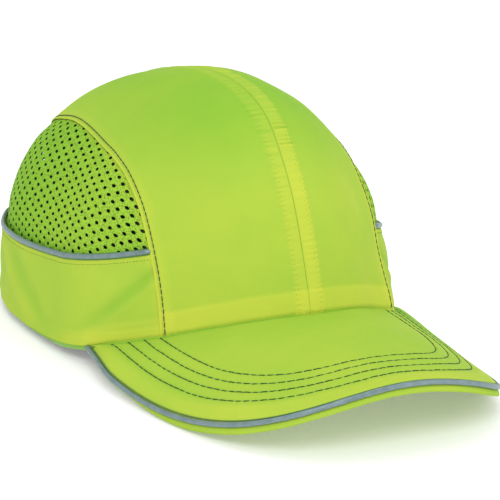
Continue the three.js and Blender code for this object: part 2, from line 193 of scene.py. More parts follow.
def rim_height(phi):
    return 13 + 10.73 * np.cos(phi) + 7.17 * np.cos(2 * phi)


def piping_height(phi):
    return 50.4 + 16.3 * np.cos(phi) + 3.26 * np.cos(2 * phi)


def brim_root_height(phi):
    degrees = np.abs(phi) / DEG
    ends = 0.6 * bell(degrees - 55, 12) - 2.6 * smooth((degrees - 64) / 16)
    return 35.4 - 25.35 * np.sin(phi) ** 2 + ends


ARCH_HALF, ARCH_FOOT, ARCH_RISE = 46, 8, 51      # the opening at the rear, an ellipse's half
REAR_Y = 40                                      # behind this, a side may meet the opening
LOWEST_TURN = -14 * DEG                          # well below the rim


def arch_height(x):
    return ARCH_FOOT + ARCH_RISE * np.sqrt(1 - np.clip(x / ARCH_HALF, -1, 1) ** 2)


def arch_half_at(z):
    return ARCH_HALF * np.sqrt(1 - np.clip((z - ARCH_FOOT) / ARCH_RISE, 0, 1) ** 2)


def rear_angle(x, z):
    """The plan angle, behind the sides, where the crown is x off its middle."""
    return bisect(100 * DEG, 180 * DEG, lambda phi: surface(CROWN, phi, z)[..., 0] > x, 40)


def seam_offset(turn):
    """How far off the middle a long seam runs: straight at first, then closing in."""
    past = np.maximum(0, turn / DEG - 78)
    late = np.maximum(0, turn / DEG - 125) / 35
    return SEAM_HALF - 0.1455 * past * past / (past + 8) - 23.3 * late * late


def seam_point(turn, margin=0.0):
    return over_top(seam_offset(turn) + margin, turn)


def foot_turn(x, above=0.0):
    """The turn at which the crown, x off its middle, is a given height above the rim."""
    def low(turn):
        p = over_top(x, turn)
        return p[..., 2] < rim_height(angle_of(CROWN, p)) + above

    return bisect(LOWEST_TURN, 40 * DEG, low)


def arch_turn(x):
    return bisect(110 * DEG, 178 * DEG, lambda t: over_top(x, t)[..., 2] > arch_height(x))


def rear_of_seam():
    def above(turn):
        p = seam_point(turn)
        return p[..., 2] > arch_height(p[..., 0])

    return float(bisect(130 * DEG, 170 * DEG, above))


def seam_turn_at_height(z):
    return bisect(LOWEST_TURN, 80 * DEG, lambda t: seam_point(t)[..., 2] < z)


def seam_turn_at_piping():
    def low(turn):
        p = seam_point(turn)
        return p[..., 2] < piping_height(angle_of(CROWN, p))

    return float(bisect(10 * DEG, 80 * DEG, low))


SEAM_REAR = rear_of_seam()
SEAM_AT_PIPING = seam_turn_at_piping()

# ---- Mesh tools ------------------------------------------------------------------------------


def unit(v):
    return v / np.maximum(1e-9, np.linalg.norm(v, axis=-1, keepdims=True))


def grid_normals(p, inner=INNER_POINT):
    """Unit normals of a grid of points, on the side away from an inner point."""
    n = unit(np.cross(np.gradient(p, axis=0), np.gradient(p, axis=1)))
    facing = np.sum(n * (p - inner), -1, keepdims=True)
    return n * np.sign(np.sum(np.sign(facing)) + 0.5)


def arc_lengths(p, axis):
    """Distance along a grid axis from its start, for each point."""
    step = np.linalg.norm(np.diff(p, axis=axis), axis=-1)
    zero = np.zeros_like(np.take(step, [0], axis=axis))
    return np.cumsum(np.concatenate([zero, step], axis=axis), axis=axis)


def edge_distances(p, axis):
    """Distance along a grid axis from its start and from its end."""
    s = arc_lengths(p, axis)
    return s, np.take(s, [-1], axis=axis) - s


def clustered(count, strength):
    """0 to 1 in count steps, finer at both ends."""
    t = np.linspace(0, 1, count)
    return t - strength * np.sin(2 * np.pi * t) / (2 * np.pi)


def waves(p, seed, length, count=8):
    """Smooth wandering bumps between about -1 and 1, of a typical length in millimetres."""
    rng = np.random.default_rng(seed)
    total = 0
    for _ in range(count):
        way = unit(rng.normal(size=3))
        k = 2 * np.pi / (length * rng.uniform(0.7, 1.5))
        total = total + np.sin(k * (p @ way) + rng.uniform(0, 2 * np.pi))
    return total / math.sqrt(count)


def along_waves(s, seed, length, count=6):
    """The same along one measure."""
    line = np.asarray(s, float)[..., None] * np.array([1.0, 0, 0]) * 2
    return waves(line, seed, length * 1.2, count)


def grid_faces(rows, columns, offset=0, wrap=False):
    """Quads of a grid whose points run row by row; wrap joins the last row to the first."""
    i = np.arange(rows if wrap else rows - 1)[:, None]
    j = np.arange(columns - 1)[None, :]
    a = i * columns + j
    b = ((i + 1) % rows) * columns + j
    return (np.stack([a, b, b + 1, a + 1], -1).reshape(-1, 4) + offset).tolist()


def ring_faces(upper, lower):
    """Quads between two closed rings of point numbers."""
    count = len(upper)
    return [[upper[k], upper[(k + 1) % count], lower[(k + 1) % count], lower[k]]
            for k in range(count)]


def border_faces(rows, columns, lower):
    """Quads that join a grid's border to the same border of a second grid, lower points on."""
    ids = np.arange(rows * columns).reshape(rows, columns)
    ring = np.concatenate([ids[0], ids[1:, -1], ids[-1, -2::-1], ids[-2:0:-1, 0]])
    return ring_faces(ring.tolist(), (ring + lower).tolist())


def end_faces(sides, count):
    """The two ends of a tube of a number of sides, each a row of count points."""
    start = [k * count for k in range(sides)]
    return [start, [k + count - 1 for k in start][::-1]]


def make_object(name, points, faces, material):
    """A smooth-shaded piece with its faces turned outwards, from points in millimetres."""
    mesh = bpy.data.meshes.new(name)
    mesh.from_pydata((np.asarray(points).reshape(-1, 3) * MM).tolist(), [], faces)
    mesh.validate()
    solid = bmesh.new()
    solid.from_mesh(mesh)
    bmesh.ops.recalc_face_normals(solid, faces=solid.faces)
    solid.to_mesh(mesh)
    solid.free()
    mesh.polygons.foreach_set("use_smooth", [True] * len(mesh.polygons))
    mesh.materials.append(material)
    piece = bpy.data.objects.new(name, mesh)
    bpy.context.scene.collection.objects.link(piece)
    return piece


def set_attribute(piece, name, values):
    attribute = piece.data.attributes.new(name, "FLOAT", "POINT")
    attribute.data.foreach_set("value", np.asarray(values, np.float32).ravel())


def set_uv(piece, uv):
    """A map of the fabric's own threads, in centimetres, from one pair per point."""
    layer = piece.data.uv_layers.new(name="cloth")
    loops = np.empty(len(piece.data.loops), np.int32)
    piece.data.loops.foreach_get("vertex_index", loops)
    layer.data.foreach_set("uv", (np.asarray(uv, np.float32) * 0.1)[loops].ravel())


def slab(name, outer, inner, material):
    """A closed piece between two grids of points of the same shape."""
    rows, columns = outer.shape[:2]
    lower = rows * columns
    faces = grid_faces(rows, columns)
    faces += [f[::-1] for f in grid_faces(rows, columns, lower)]
    faces += border_faces(rows, columns, lower)
    points = np.concatenate([outer.reshape(-1, 3), inner.reshape(-1, 3)])
    return make_object(name, points, faces, material)


def cloth_shell(name, outer, thickness, material, tint, inner=INNER_POINT):
    """A closed cloth from a grid of outer points, with its thread map and colour tint."""
    piece = slab(name, outer, outer - grid_normals(outer, inner) * thickness, material)
    uv = np.stack([arc_lengths(outer, 0), arc_lengths(outer, 1)], -1).reshape(-1, 2)
    set_uv(piece, np.concatenate([uv, uv]))
    flat = np.broadcast_to(tint, outer.shape[:2]).ravel()
    set_attribute(piece, "tint", np.concatenate([flat, flat]))
    return piece


def evaluated(piece):
    """The mesh that a piece's modifiers make of it."""
    graph = bpy.context.evaluated_depsgraph_get()
    return bpy.data.meshes.new_from_object(piece.evaluated_get(graph))


def apply_modifiers(piece):
    piece.data = evaluated(piece)
    piece.modifiers.clear()


def frames_along(path, up):
    """Unit tangent, side and up vectors along a path."""
    tangent = unit(np.gradient(path, axis=0))
    up = unit(up - np.sum(up * tangent, -1, keepdims=True) * tangent)
    return tangent, np.cross(tangent, up), up


def tube(name, path, up, half_width, half_height, material, sides=12, power=2.0):
    """A tube along a path. Its section is an oval, or a rounded rectangle at a higher power."""
    tangent, side, up = frames_along(path, up)
    a = np.linspace(0, 2 * np.pi, sides, endpoint=False)
    across = np.sign(np.cos(a)) * np.abs(np.cos(a)) ** (2 / power)
    over = np.sign(np.sin(a)) * np.abs(np.sin(a)) ** (2 / power)
    w = np.broadcast_to(half_width, len(path))[:, None, None]
    h = np.broadcast_to(half_height, len(path))[:, None, None]
    ring = w * across[None, :, None] * side[:, None] + h * over[None, :, None] * up[:, None]
    points = (path[:, None] + ring).transpose(1, 0, 2)
    count = len(path)
    faces = grid_faces(sides, count, wrap=True) + end_faces(sides, count)
    piece = make_object(name, points, faces, material)
    run = arc_lengths(path[None], 1)[0]
    girth = np.arange(sides) * 2 * (np.max(half_width) + np.max(half_height)) / sides
    set_uv(piece, np.stack(np.meshgrid(run, girth), -1).reshape(-1, 2))
    return piece


def resample(path, up, pitch):
    """Evenly spaced places along a path, with the up vectors there."""
    s = arc_lengths(path[None], 1)[0]
    count = max(2, int(s[-1] / pitch))
    at = (np.arange(count) + 0.5) * s[-1] / count
    spots, ups = (
        np.stack([np.interp(at, s, values[:, k]) for k in range(3)], -1) for values in (path, up)
    )
    return spots, unit(ups)


def stitches(name, rows, pitch, length, radius, material, proud):
    """Separate sewn stitches along paths: each dips into the cloth at both ends."""
    t = np.array([-1, -0.93, -0.8, 0, 0.8, 0.93, 1])
    rings, sides = len(t), 6
    a = np.linspace(0, 2 * np.pi, sides, endpoint=False)
    girth = radius * np.sqrt(np.maximum(0.1, 1 - t ** 6))
    template = np.stack([
        np.repeat(t * length / 2, sides),
        np.outer(girth, np.cos(a)).ravel(),
        np.outer(girth, np.sin(a)).ravel() + np.repeat(-1.5 * radius * t ** 8, sides),
    ], -1)
    ids = np.arange(rings * sides).reshape(rings, sides).tolist()
    one = sum((ring_faces(a, b) for a, b in zip(ids, ids[1:])), []) + [ids[0][::-1], ids[-1]]
    points, faces = [], []
    for path, up in rows:
        spots, ups = resample(path, up, pitch)
        tangent, side, ups = frames_along(spots, ups)
        world = (spots[:, None] + template[None, :, :1] * tangent[:, None]
                 + template[None, :, 1:2] * side[:, None]
                 + (template[None, :, 2:] + proud) * ups[:, None])
        for stitch in world:
            start = len(points) * len(template)
            points.append(stitch)
            faces += [[v + start for v in f] for f in one]
    return make_object(name, np.concatenate(points), faces, material)


def tree_of(*pieces):
    """A search tree over the faces of some pieces."""
    corners, faces = [], []
    for piece in pieces:
        start = len(corners)
        corners += [v.co.copy() for v in piece.data.vertices]
        faces += [[v + start for v in face.vertices] for face in piece.data.polygons]
    return BVHTree.FromPolygons(corners, faces)


def sewn_row(tree, path, up):
    """A path moved straight along its up vectors onto the faces below it, with those vectors."""
    spots = np.array(path, float)
    reach = 4.0
    for k, (spot, way) in enumerate(zip(path, up)):
        hit = tree.ray_cast(Vector(spot + way * reach) * MM, Vector(-way), 2 * reach * MM)
        if hit[0] is not None:
            spots[k] = np.array(hit[0]) / MM
    return spots, up


def place(piece, body, slot, *nodes):
    """Gives a piece its body and hides the CAD nodes that it stands for. The slot is not used."""
    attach(piece, body)
    if nodes:
        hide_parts(*nodes)
    return piece


SIDES = (("left", 1), ("right", -1))
SWELL = 4.8                           # how far the left half stands out beside the brim


def sided(p, side):
    """Directions or points of the left half, or their mirror image for the right."""
    return p * [side, 1, 1]


def fitted(p, side):
    """Points of one half of the crown. The left one stands out a little beside the brim."""
    if side < 0:
        return sided(p, side)
    y = p[..., 1] - lean_of(CROWN, p[..., 2])
    out = unit(np.stack([p[..., 0], y, 0 * y], -1))
    turn = angle_of(CROWN, p) / DEG
    low = SWELL * bell(turn - 49, 10.5) * smooth((56 - p[..., 2]) / 40)
    high = 0.8 * np.exp(-(((turn - 62) / 22) ** 2) - ((p[..., 2] - 66) / 17) ** 2)
    return p + out * (low + high)[..., None]


# ---- Materials -------------------------------------------------------------------------------


class Shader:
    """A node material with a few short cuts for building it."""

    def __init__(self, name, **sockets):
        self.material = bpy.data.materials.new(name)
        self.material.use_nodes = True
        self.tree = self.material.node_tree
        self.surface = self.tree.nodes["Principled BSDF"]
        for key, value in sockets.items():
            self.surface.inputs[key.replace("_", " ")].default_value = value
        self.height = None

    def node(self, kind, inputs=(), **settings):
        """A node with its inputs linked to other outputs, or set to numbers and colours."""
        made = self.tree.nodes.new("ShaderNode" + kind)
        for key, value in settings.items():
            setattr(made, key, value)
        for key, value in dict(inputs).items():
            if hasattr(value, "is_linked"):
                self.tree.links.new(value, made.inputs[key])
            else:
                made.inputs[key].default_value = (*value, 1) if isinstance(value, tuple) else value
        return made

    def math(self, operation, a, b):
        return self.node("Math", {0: a, 1: b}, operation=operation).outputs[0]

    def sum(self, a, share_a, b, share_b):
        parts = [self.math("MULTIPLY", *part) for part in ((a, share_a), (b, share_b))]
        return self.math("ADD", *parts)

    def place(self):
        """Where a point is on the object at rest, in metres."""
        return self.node("TexCoord").outputs["Object"]

    def noise(self, scale, detail=3.0):
        inputs = {"Scale": scale, "Detail": detail, "Vector": self.place()}
        return self.node("TexNoise", inputs).outputs[0]

    def cells(self, scale):
        """0 in the middle of each grain, rising towards its border."""
        inputs = {"Scale": scale, "Vector": self.place()}
        return self.node("TexVoronoi", inputs).outputs["Distance"]

    def ramp(self, value, *stops):
        made = self.node("ValToRGB", {0: value})
        band = made.color_ramp
        while len(band.elements) < len(stops):
            band.elements.new(0.5)
        for element, (at, colour) in zip(band.elements, stops):
            element.position = at
            element.color = (*colour, 1)
        return made.outputs[0]

    def grey_ramp(self, value, *stops):
        return self.ramp(value, *[(at, (level,) * 3) for at, level in stops])

    def attribute(self, name):
        return self.node("Attribute", attribute_name=name).outputs["Fac"]

    def blend(self, amount, a, b, mode="MIX"):
        inputs = {0: amount, 6: a, 7: b}
        return self.node("Mix", inputs, data_type="RGBA", blend_type=mode).outputs[2]

    def set(self, socket, value):
        self.tree.links.new(value, self.surface.inputs[socket])

    def bump(self, height, depth, strength=1.0):
        """Adds relief of a depth in millimetres over what is there already."""
        made = self.node("Bump", {"Height": height, "Distance": depth * MM, "Strength": strength})
        if self.height is not None:
            self.tree.links.new(self.height, made.inputs["Normal"])
        self.height = made.outputs[0]
        self.set("Normal", self.height)

    def weave(self, pitch, twill=False):
        """Over and under threads of a pitch in millimetres, from 0 in the gaps to 1."""
        threads = self.node("UVMap", uv_map="cloth").outputs[0]
        scale = math.pi / pitch
        lines = [
            self.node("TexWave", {"Vector": threads, "Scale": scale}, bands_direction=way)
            for way in (("DIAGONAL", "Y") if twill else ("X", "Y"))
        ]
        return self.math("MAXIMUM", lines[0].outputs["Fac"], lines[1].outputs["Fac"])


def times(colour, share):
    return tuple(share * c for c in colour)


# The tint runs from the greener, darker stop to the yellower, lighter one, and the pieces' painted
# light and shade are carried in it.
LIME_GREENER = (0.235, 0.5, 0.04)
LIME_BODY = (0.38, 0.565, 0.058)
LIME_YELLOW = (0.58, 0.65, 0.068)


def lime_cloth():
    """Fine plain weave, tinted from a greener to a yellower lime; the tint attribute carries each
    piece's painted light and shade, where it has any.
    """
    s = Shader("lime_cloth", Roughness=0.6, Specular_IOR_Level=0.03)
    tint = s.attribute("tint")
    mottle = s.noise(55.0, 4.0)
    shade = s.math("ADD", tint, s.math("MULTIPLY", s.math("SUBTRACT", mottle, 0.5), 0.22))
    colour = s.ramp(shade, (0.0, LIME_GREENER), (0.5, LIME_BODY), (1.0, LIME_YELLOW))
    threads = s.weave(0.32)
    gaps = s.grey_ramp(threads, (0.0, 0.8), (0.6, 1.0))
    s.set("Base Color", s.blend(0.7, colour, gaps, "MULTIPLY"))
    s.set("Roughness", s.grey_ramp(s.noise(320.0), (0.3, 0.54), (0.7, 0.68)))
    s.bump(s.noise(70.0, 5.0), 0.5, 0.35)
    s.bump(threads, 0.05, 0.6)
    return s.material


def mesh_cloth():
    """Open knit, with dark pits between its stitches and painted shade on the walls of its holes.
    """
    s = Shader("mesh_cloth", Roughness=0.72, Specular_IOR_Level=0.05)
    colour = s.ramp(s.attribute("tint"), (0.0, (0.2, 0.47, 0.03)), (0.5, (0.32, 0.56, 0.045)),
                    (1.0, (0.52, 0.66, 0.06)))
    knit = s.cells(1250.0)
    pits = s.grey_ramp(knit, (0.12, 0.16), (0.48, 1.0))
    patch = s.grey_ramp(s.noise(620.0, 3.0), (0.46, 0.0), (0.62, 1.0))
    speckle = s.blend(s.attribute("sparse"), pits, patch, "LIGHTEN")
    knitted = s.blend(0.88, colour, speckle, "MULTIPLY")
    # Painted shade: the holes' walls and the mesh's back are blended towards near black.
    s.set("Base Color", s.blend(s.attribute("painted_hole_shade"), knitted, (0.012, 0.016, 0.008)))
    s.bump(knit, 0.22, 0.7)
    s.bump(s.noise(160.0), 0.2, 0.4)
    return s.material


def thread(name, colour):
    s = Shader(name, Roughness=0.6, Specular_IOR_Level=0.15)
    twist = s.noise(2400.0, 2.0)
    s.set("Base Color", s.ramp(twist, (0.35, times(colour, 0.55)), (0.65, colour)))
    s.bump(twist, 0.08, 0.8)
    return s.material


def reflective():
    """Grey reflective tape, with the glint of glass beads."""
    s = Shader("reflective_piping", Roughness=0.34, Metallic=0.35, Specular_IOR_Level=0.6)
    beads = s.cells(2300.0)
    worn = s.noise(240.0, 4.0)
    colour = s.ramp(worn, (0.3, (0.19, 0.285, 0.305)), (0.7, (0.29, 0.405, 0.425)))
    # Painted glint: the beads' middles are lighter in the base colour than their borders.
    glint = s.grey_ramp(beads, (0.0, 1.0), (0.5, 0.62))
    s.set("Base Color", s.blend(0.8, colour, glint, "MULTIPLY"))
    s.set("Roughness", s.grey_ramp(worn, (0.3, 0.28), (0.7, 0.5)))
    s.bump(beads, 0.08, 0.5)
    s.bump(s.noise(300.0), 0.3, 0.4)
    return s.material


def tape(name, colour, dark):
    """Twill tape."""
    s = Shader(name, Roughness=0.72, Sheen_Weight=0.2)
    threads = s.weave(0.55, twill=True)
    tone = s.sum(threads, 0.6, s.noise(150.0), 0.4)
    s.set("Base Color", s.ramp(tone, (0.2, dark), (0.75, colour)))
    s.bump(threads, 0.12, 0.7)
    return s.material


def terry():
    """Short dark loops."""
    s = Shader("terry", Roughness=0.95, Sheen_Weight=0.7, Sheen_Roughness=0.5)
    loops = s.cells(1100.0)
    tone = s.math("ADD", loops, s.math("MULTIPLY", s.noise(90.0, 4.0), 0.35))
    s.set("Base Color", s.ramp(tone, (0.1, (0.075, 0.078, 0.082)), (0.75, (0.018, 0.019, 0.021))))
    s.bump(s.math("SUBTRACT", 1.0, loops), 0.5, 0.9)
    s.bump(s.noise(260.0), 0.4, 0.4)
    return s.material


def pile(name, colour, scale):
    """Hook or loop pile."""
    s = Shader(name, Roughness=0.85, Sheen_Weight=0.5)
    tufts = s.cells(scale)
    tone = s.math("MULTIPLY", tufts, s.noise(scale * 1.6))
    s.set("Base Color", s.ramp(tone, (0.1, colour), (0.45, times(colour, 0.3))))
    s.bump(s.math("SUBTRACT", 1.0, tufts), 0.45, 1.0)
    return s.material


def moulded(name, colour):
    """Plain plastic with a fine moulded grain."""
    s = Shader(name, Roughness=0.42, Specular_IOR_Level=0.45)
    speck = s.noise(1800.0, 2.0)
    flow = s.noise(35.0, 2.0)
    s.set("Base Color", s.ramp(flow, (0.35, colour), (0.7, times(colour, 1.35))))
    s.set("Roughness", s.grey_ramp(s.noise(130.0, 4.0), (0.3, 0.36), (0.7, 0.52)))
    s.bump(speck, 0.06, 0.6)
    return s.material


def foam(name, colour):
    """Closed-cell foam."""
    s = Shader(name, Roughness=0.9, Sheen_Weight=0.3)
    cells = s.cells(1500.0)
    tone = s.sum(cells, 0.7, s.noise(60.0), 0.3)
    s.set("Base Color", s.ramp(tone, (0.15, colour), (0.7, times(colour, 0.5))))
    s.bump(s.math("SUBTRACT", 1.0, cells), 0.18, 0.7)
    s.bump(s.noise(110.0), 0.6, 0.3)
    return s.material


LIME = lime_cloth()
MESH = mesh_cloth()
THREAD = thread("stitching", (0.013, 0.08, 0.042))
THREAD_FAINT = thread("stitching_faint", (0.15, 0.34, 0.04))
REFLECTIVE = reflective()
BINDING = tape("binding", (0.26, 0.53, 0.055), (0.12, 0.3, 0.03))
# Dark lines along the piping: the seam's edge, and painted shade in the groove beside it.
SEAM_SHADE_LINE = tape("piping_seam_shade", (0.055, 0.21, 0.05), (0.03, 0.13, 0.035))
TERRY = terry()
HOOK = pile("hook", (0.06, 0.062, 0.066), 900.0)
LOOP = pile("loop", (0.05, 0.052, 0.056), 1400.0)
ABS = moulded("abs", (0.016, 0.017, 0.019))
BOARD = moulded("brim_board", (0.62, 0.64, 0.6))
FOAM = foam("foam", (0.075, 0.08, 0.086))
SEAM_TAPE = tape("seam_tape", (0.03, 0.034, 0.03), (0.012, 0.014, 0.012))

SEWING = {                            # pitch, length, radius, thread, how far it stands proud
    "side_seam": (3.1, 3.08, 0.27, THREAD, 0.12),
    "centre_tape": (2.3, 0.6, 0.09, THREAD_FAINT, 0.03),
    "band": (1.75, 0.85, 0.17, THREAD_FAINT, 0.07),
    "brim_top": (4.3, 4.15, 0.24, THREAD, 0.14),
    "brim_under": (3.1, 2.4, 0.22, THREAD, 0.06),
    "sweatband": (3.2, 2.3, 0.2, THREAD, 0.08),
    "arch": (2.9, 2.3, 0.22, THREAD, 0.06),
    "flap": (2.9, 2.2, 0.2, THREAD, 0.06),
}


def sew(name, kind, rows, body="cap", slot="lime_fabric"):
    place(stitches(name, rows, *SEWING[kind]), body, slot)


# ---- The crown's cloth -----------------------------------------------------------------------

FOLD = 1.75                           # the centre panels' turned edge, outside the topstitching
CLOTH = 0.8                           # thickness of the crown's and the bands' cloth
AWAY = 99                             # stands for far from the brim


def ellipsoid_normal(form, p):
    """Roughly the dome's outward normal, the way its layers are offset."""
    y = p[..., 1] - lean_of(form, p[..., 2])
    reach = end_value(form, -y, REACH)
    up = np.maximum(0, p[..., 2] - BASE) / form["height"] ** 2
    return unit(np.stack([p[..., 0] / form["half"] ** 2, y / reach ** 2, up], -1))


def drape(p):
    """The cloth's soft unevenness, the same for every layer of the crown."""
    return 0.45 * waves(p, 11, 60) + 0.2 * waves(p * [1.0, 0.6, 0.5], 12, 20)


def lay(p, height):
    """Points of the crown's surface, lifted and draped."""
    lift = np.asarray(height + drape(p))
    return p + ellipsoid_normal(CROWN, p) * lift[..., None]


def edge_curl(d, radius):
    """How far a rounded edge drops at a distance from its end, for an edge of some radius."""
    t = np.clip(1 - d / radius, 0, 1)
    return radius * (1 - np.sqrt(1 - t * t))


def green_of(p):
    """The body tint, with painted shade: greener and darker where the crown turns up to the sky,
    yellower low down.
    """
    up = ellipsoid_normal(CROWN, p)[..., 2]
    return 0.53 - 0.36 * smooth((up - 0.5) / 0.45) + 0.05 * waves(p, 21, 70)


def crown_panel(name, side):
    """A centre panel, from the middle seam to the long seam and from the brim to the arch."""
    v = clustered(88, 0.9)[None, :]
    u = np.linspace(0, 1, 430)[:, None]
    start = foot_turn(v[0] * (SEAM_HALF + FOLD))[None, :]
    end = arch_turn(v[0] * (seam_offset(SEAM_REAR) + FOLD))[None, :]
    turn = start + (end - start) * u
    x = 0.1 + v * (seam_offset(turn) + FOLD - 0.1)
    p = over_top(x, turn)
    from_middle, from_side = edge_distances(p, 1)
    run = arc_lengths(p, 0)
    over_brim = p[..., 2] - brim_root_height(angle_of(CROWN, p))
    over_brim = np.where(turn < 60 * DEG, over_brim, AWAY)
    past_fold = from_side - FOLD

    # The tape under the middle seam, and the puckers that its stitching draws up.
    taped, bright = (8.7, 0.34) if side > 0 else (7.4, 0.2)
    upper = 0.3 + 0.7 * bell(turn / DEG - 72, 26)
    phase = run / 3.3 + 0.3 * along_waves(run, 31 + side, 16)
    fade = 0.45 + 0.55 * along_waves(run, 41 + side, 9)
    pucker = ripple(phase) * fade * upper
    pucker *= smooth((taped + 3 - from_middle) / 5) * smooth(from_middle / 1.5)
    height = 0.42 * pucker + 0.26 * smooth((taped - from_middle) / 1.6)
    height -= 0.2 * bell(from_middle, 0.45)

    # The long seam: a turned edge, double cloth beside it, and the line that the needle pulls in.
    height += 0.3 * smooth(-past_fold / 0.35) + 0.18 * smooth((8.5 - from_side) / 2)
    height -= 0.3 * bell(past_fold, 0.35) + edge_curl(from_side, 0.5)
    gather = ripple(run / 2.9 + 0.25 * along_waves(run, 51 + side, 13))
    height += 0.06 * gather * bell(past_fold, 2.2)

    # The foot: drawn in where it is sewn to the brim, below a hem, and under the arch's binding.
    seam = angle_of(CROWN, p) * 80
    ruck = 1 + 0.45 * ripple(seam / 3.1 + 0.3 * along_waves(seam, 61, 20))
    height -= ruck * 0.45 * bell(over_brim, 1.0) + 0.5 * smooth(-over_brim)
    height += 0.22 * smooth((11 - over_brim) / 2) * smooth(over_brim / 1.2)
    height -= 0.4 * smooth((1.4 - (run[-1:] - run)) / 1.2)

    # Painted light and shade: lighter on the puckers' crests and darker in their hollows, and
    # darker in the middle seam's groove and along the brim's seam. The tint is also lighter over
    # the tape, beside the long seam and near the brim.
    tint = green_of(p) + bright * smooth((taped - from_middle) / 1.6) + 0.17 * pucker
    tint += 0.16 * smooth((8.5 - from_side) / 5) + 0.12 * smooth(-past_fold / 0.3)
    tint += 0.25 * smooth((12 - over_brim) / 3) + 0.1 * smooth((40 - over_brim) / 40)
    tint -= 0.16 * bell(from_middle, 0.4) + 0.3 * bell(over_brim, 0.5)
    outer = fitted(lay(p, height), side)
    return cloth_shell(name, outer, CLOTH, LIME, np.clip(tint, 0, 1))


crown_cloth = {}
for label, side in SIDES:
    crown_cloth[label] = crown_panel(f"crown_cloth_{label}", side)
    place(crown_cloth[label], "cap", "lime_fabric", f"crown_panel_{label}")

# ---- Mesh sides ------------------------------------------------------------------------------

MESH_PITCH, MESH_ROW = 4.84, 4.19      # between the holes of a row, and between rows
MESH_TURN = 21.5 * DEG                # the rows of holes climb towards the back
MESH_REACH = 110                      # holes are laid out this far round the panel's middle
MESH_DEPTH, MESH_THICK = -0.6, 0.55
MESH_CENTRE = np.array([0.0, 12.0, 30.0])
MESH_MIDDLE = surface(CROWN, 95 * DEG, 82.0)


def turned(u, v, angle):
    return u * math.cos(angle) - v * math.sin(angle), u * math.sin(angle) + v * math.cos(angle)


def mesh_surface(u, v):
    """A point of the crown, u along and v across the mesh's rows from the panel's middle."""
    a, b = turned(u, v, MESH_TURN)
    out = MESH_MIDDLE - MESH_CENTRE
    reach = np.linalg.norm(out)
    out = out / reach
    back = unit(np.cross([0, 0, 1.0], out))
    above = np.cross(out, back)
    far = np.maximum(1e-6, np.hypot(a, b))
    turn = (far / reach)[..., None]
    heading = (a / far)[..., None] * back + (b / far)[..., None] * above
    ray = np.cos(turn) * out + np.sin(turn) * heading

    def at(r):
        return MESH_CENTRE + r[..., None] * ray

    return at(bisect(30.0, 170.0, lambda r: is_inside(CROWN, at(r)), 34))


def over_seam(p):
    """How far points lie outside the long seam."""
    turn = np.arctan2(p[..., 2] - SEAM_Z, SEAM_Y - p[..., 1])
    return p[..., 0] - seam_offset(turn)


def mesh_cells():
    """The middles of the holes that show, along and across the rows, with their plan angles."""
    count = 42
    i, j = np.mgrid[-count:count + 1, -count:count + 1]
    a = (j * MESH_PITCH + (i % 2) * MESH_PITCH / 2).ravel()
    b = (i * MESH_ROW).ravel()
    near = np.hypot(a, b) < MESH_REACH
    a, b = a[near], b[near]
    middle = mesh_surface(a, b)
    phi = angle_of(CROWN, middle)
    shown = (over_seam(middle) > -1.2) & (middle[:, 2] > piping_height(phi) - 2.6)
    beside_arch = middle[:, 0] > arch_half_at(middle[:, 2]) - MESH_PITCH / 2
    shown &= (middle[:, 1] <= REAR_Y) | beside_arch
    return np.stack([a[shown], b[shown]], -1), phi[shown]


def mesh_holes(phi, ring):
    """Outlines of the holes: ovals, larger towards the front, none quite like the next."""
    rng = np.random.default_rng(7)
    front = smooth((82 - phi / DEG) / 30)[:, None]
    wide = (1.1 + 0.32 * front) * rng.uniform(0.94, 1.06, (len(phi), 1))
    tall = (0.76 + 0.06 * front) * rng.uniform(0.94, 1.06, (len(phi), 1))
    slant = rng.uniform(-0.15, 0.15, (len(phi), 1))
    turn = np.arange(ring) * 2 * np.pi / ring + MESH_TURN
    up = tall * np.sin(turn)
    return np.stack(turned(wide * np.cos(turn) + slant * up, up, -MESH_TURN), -1)


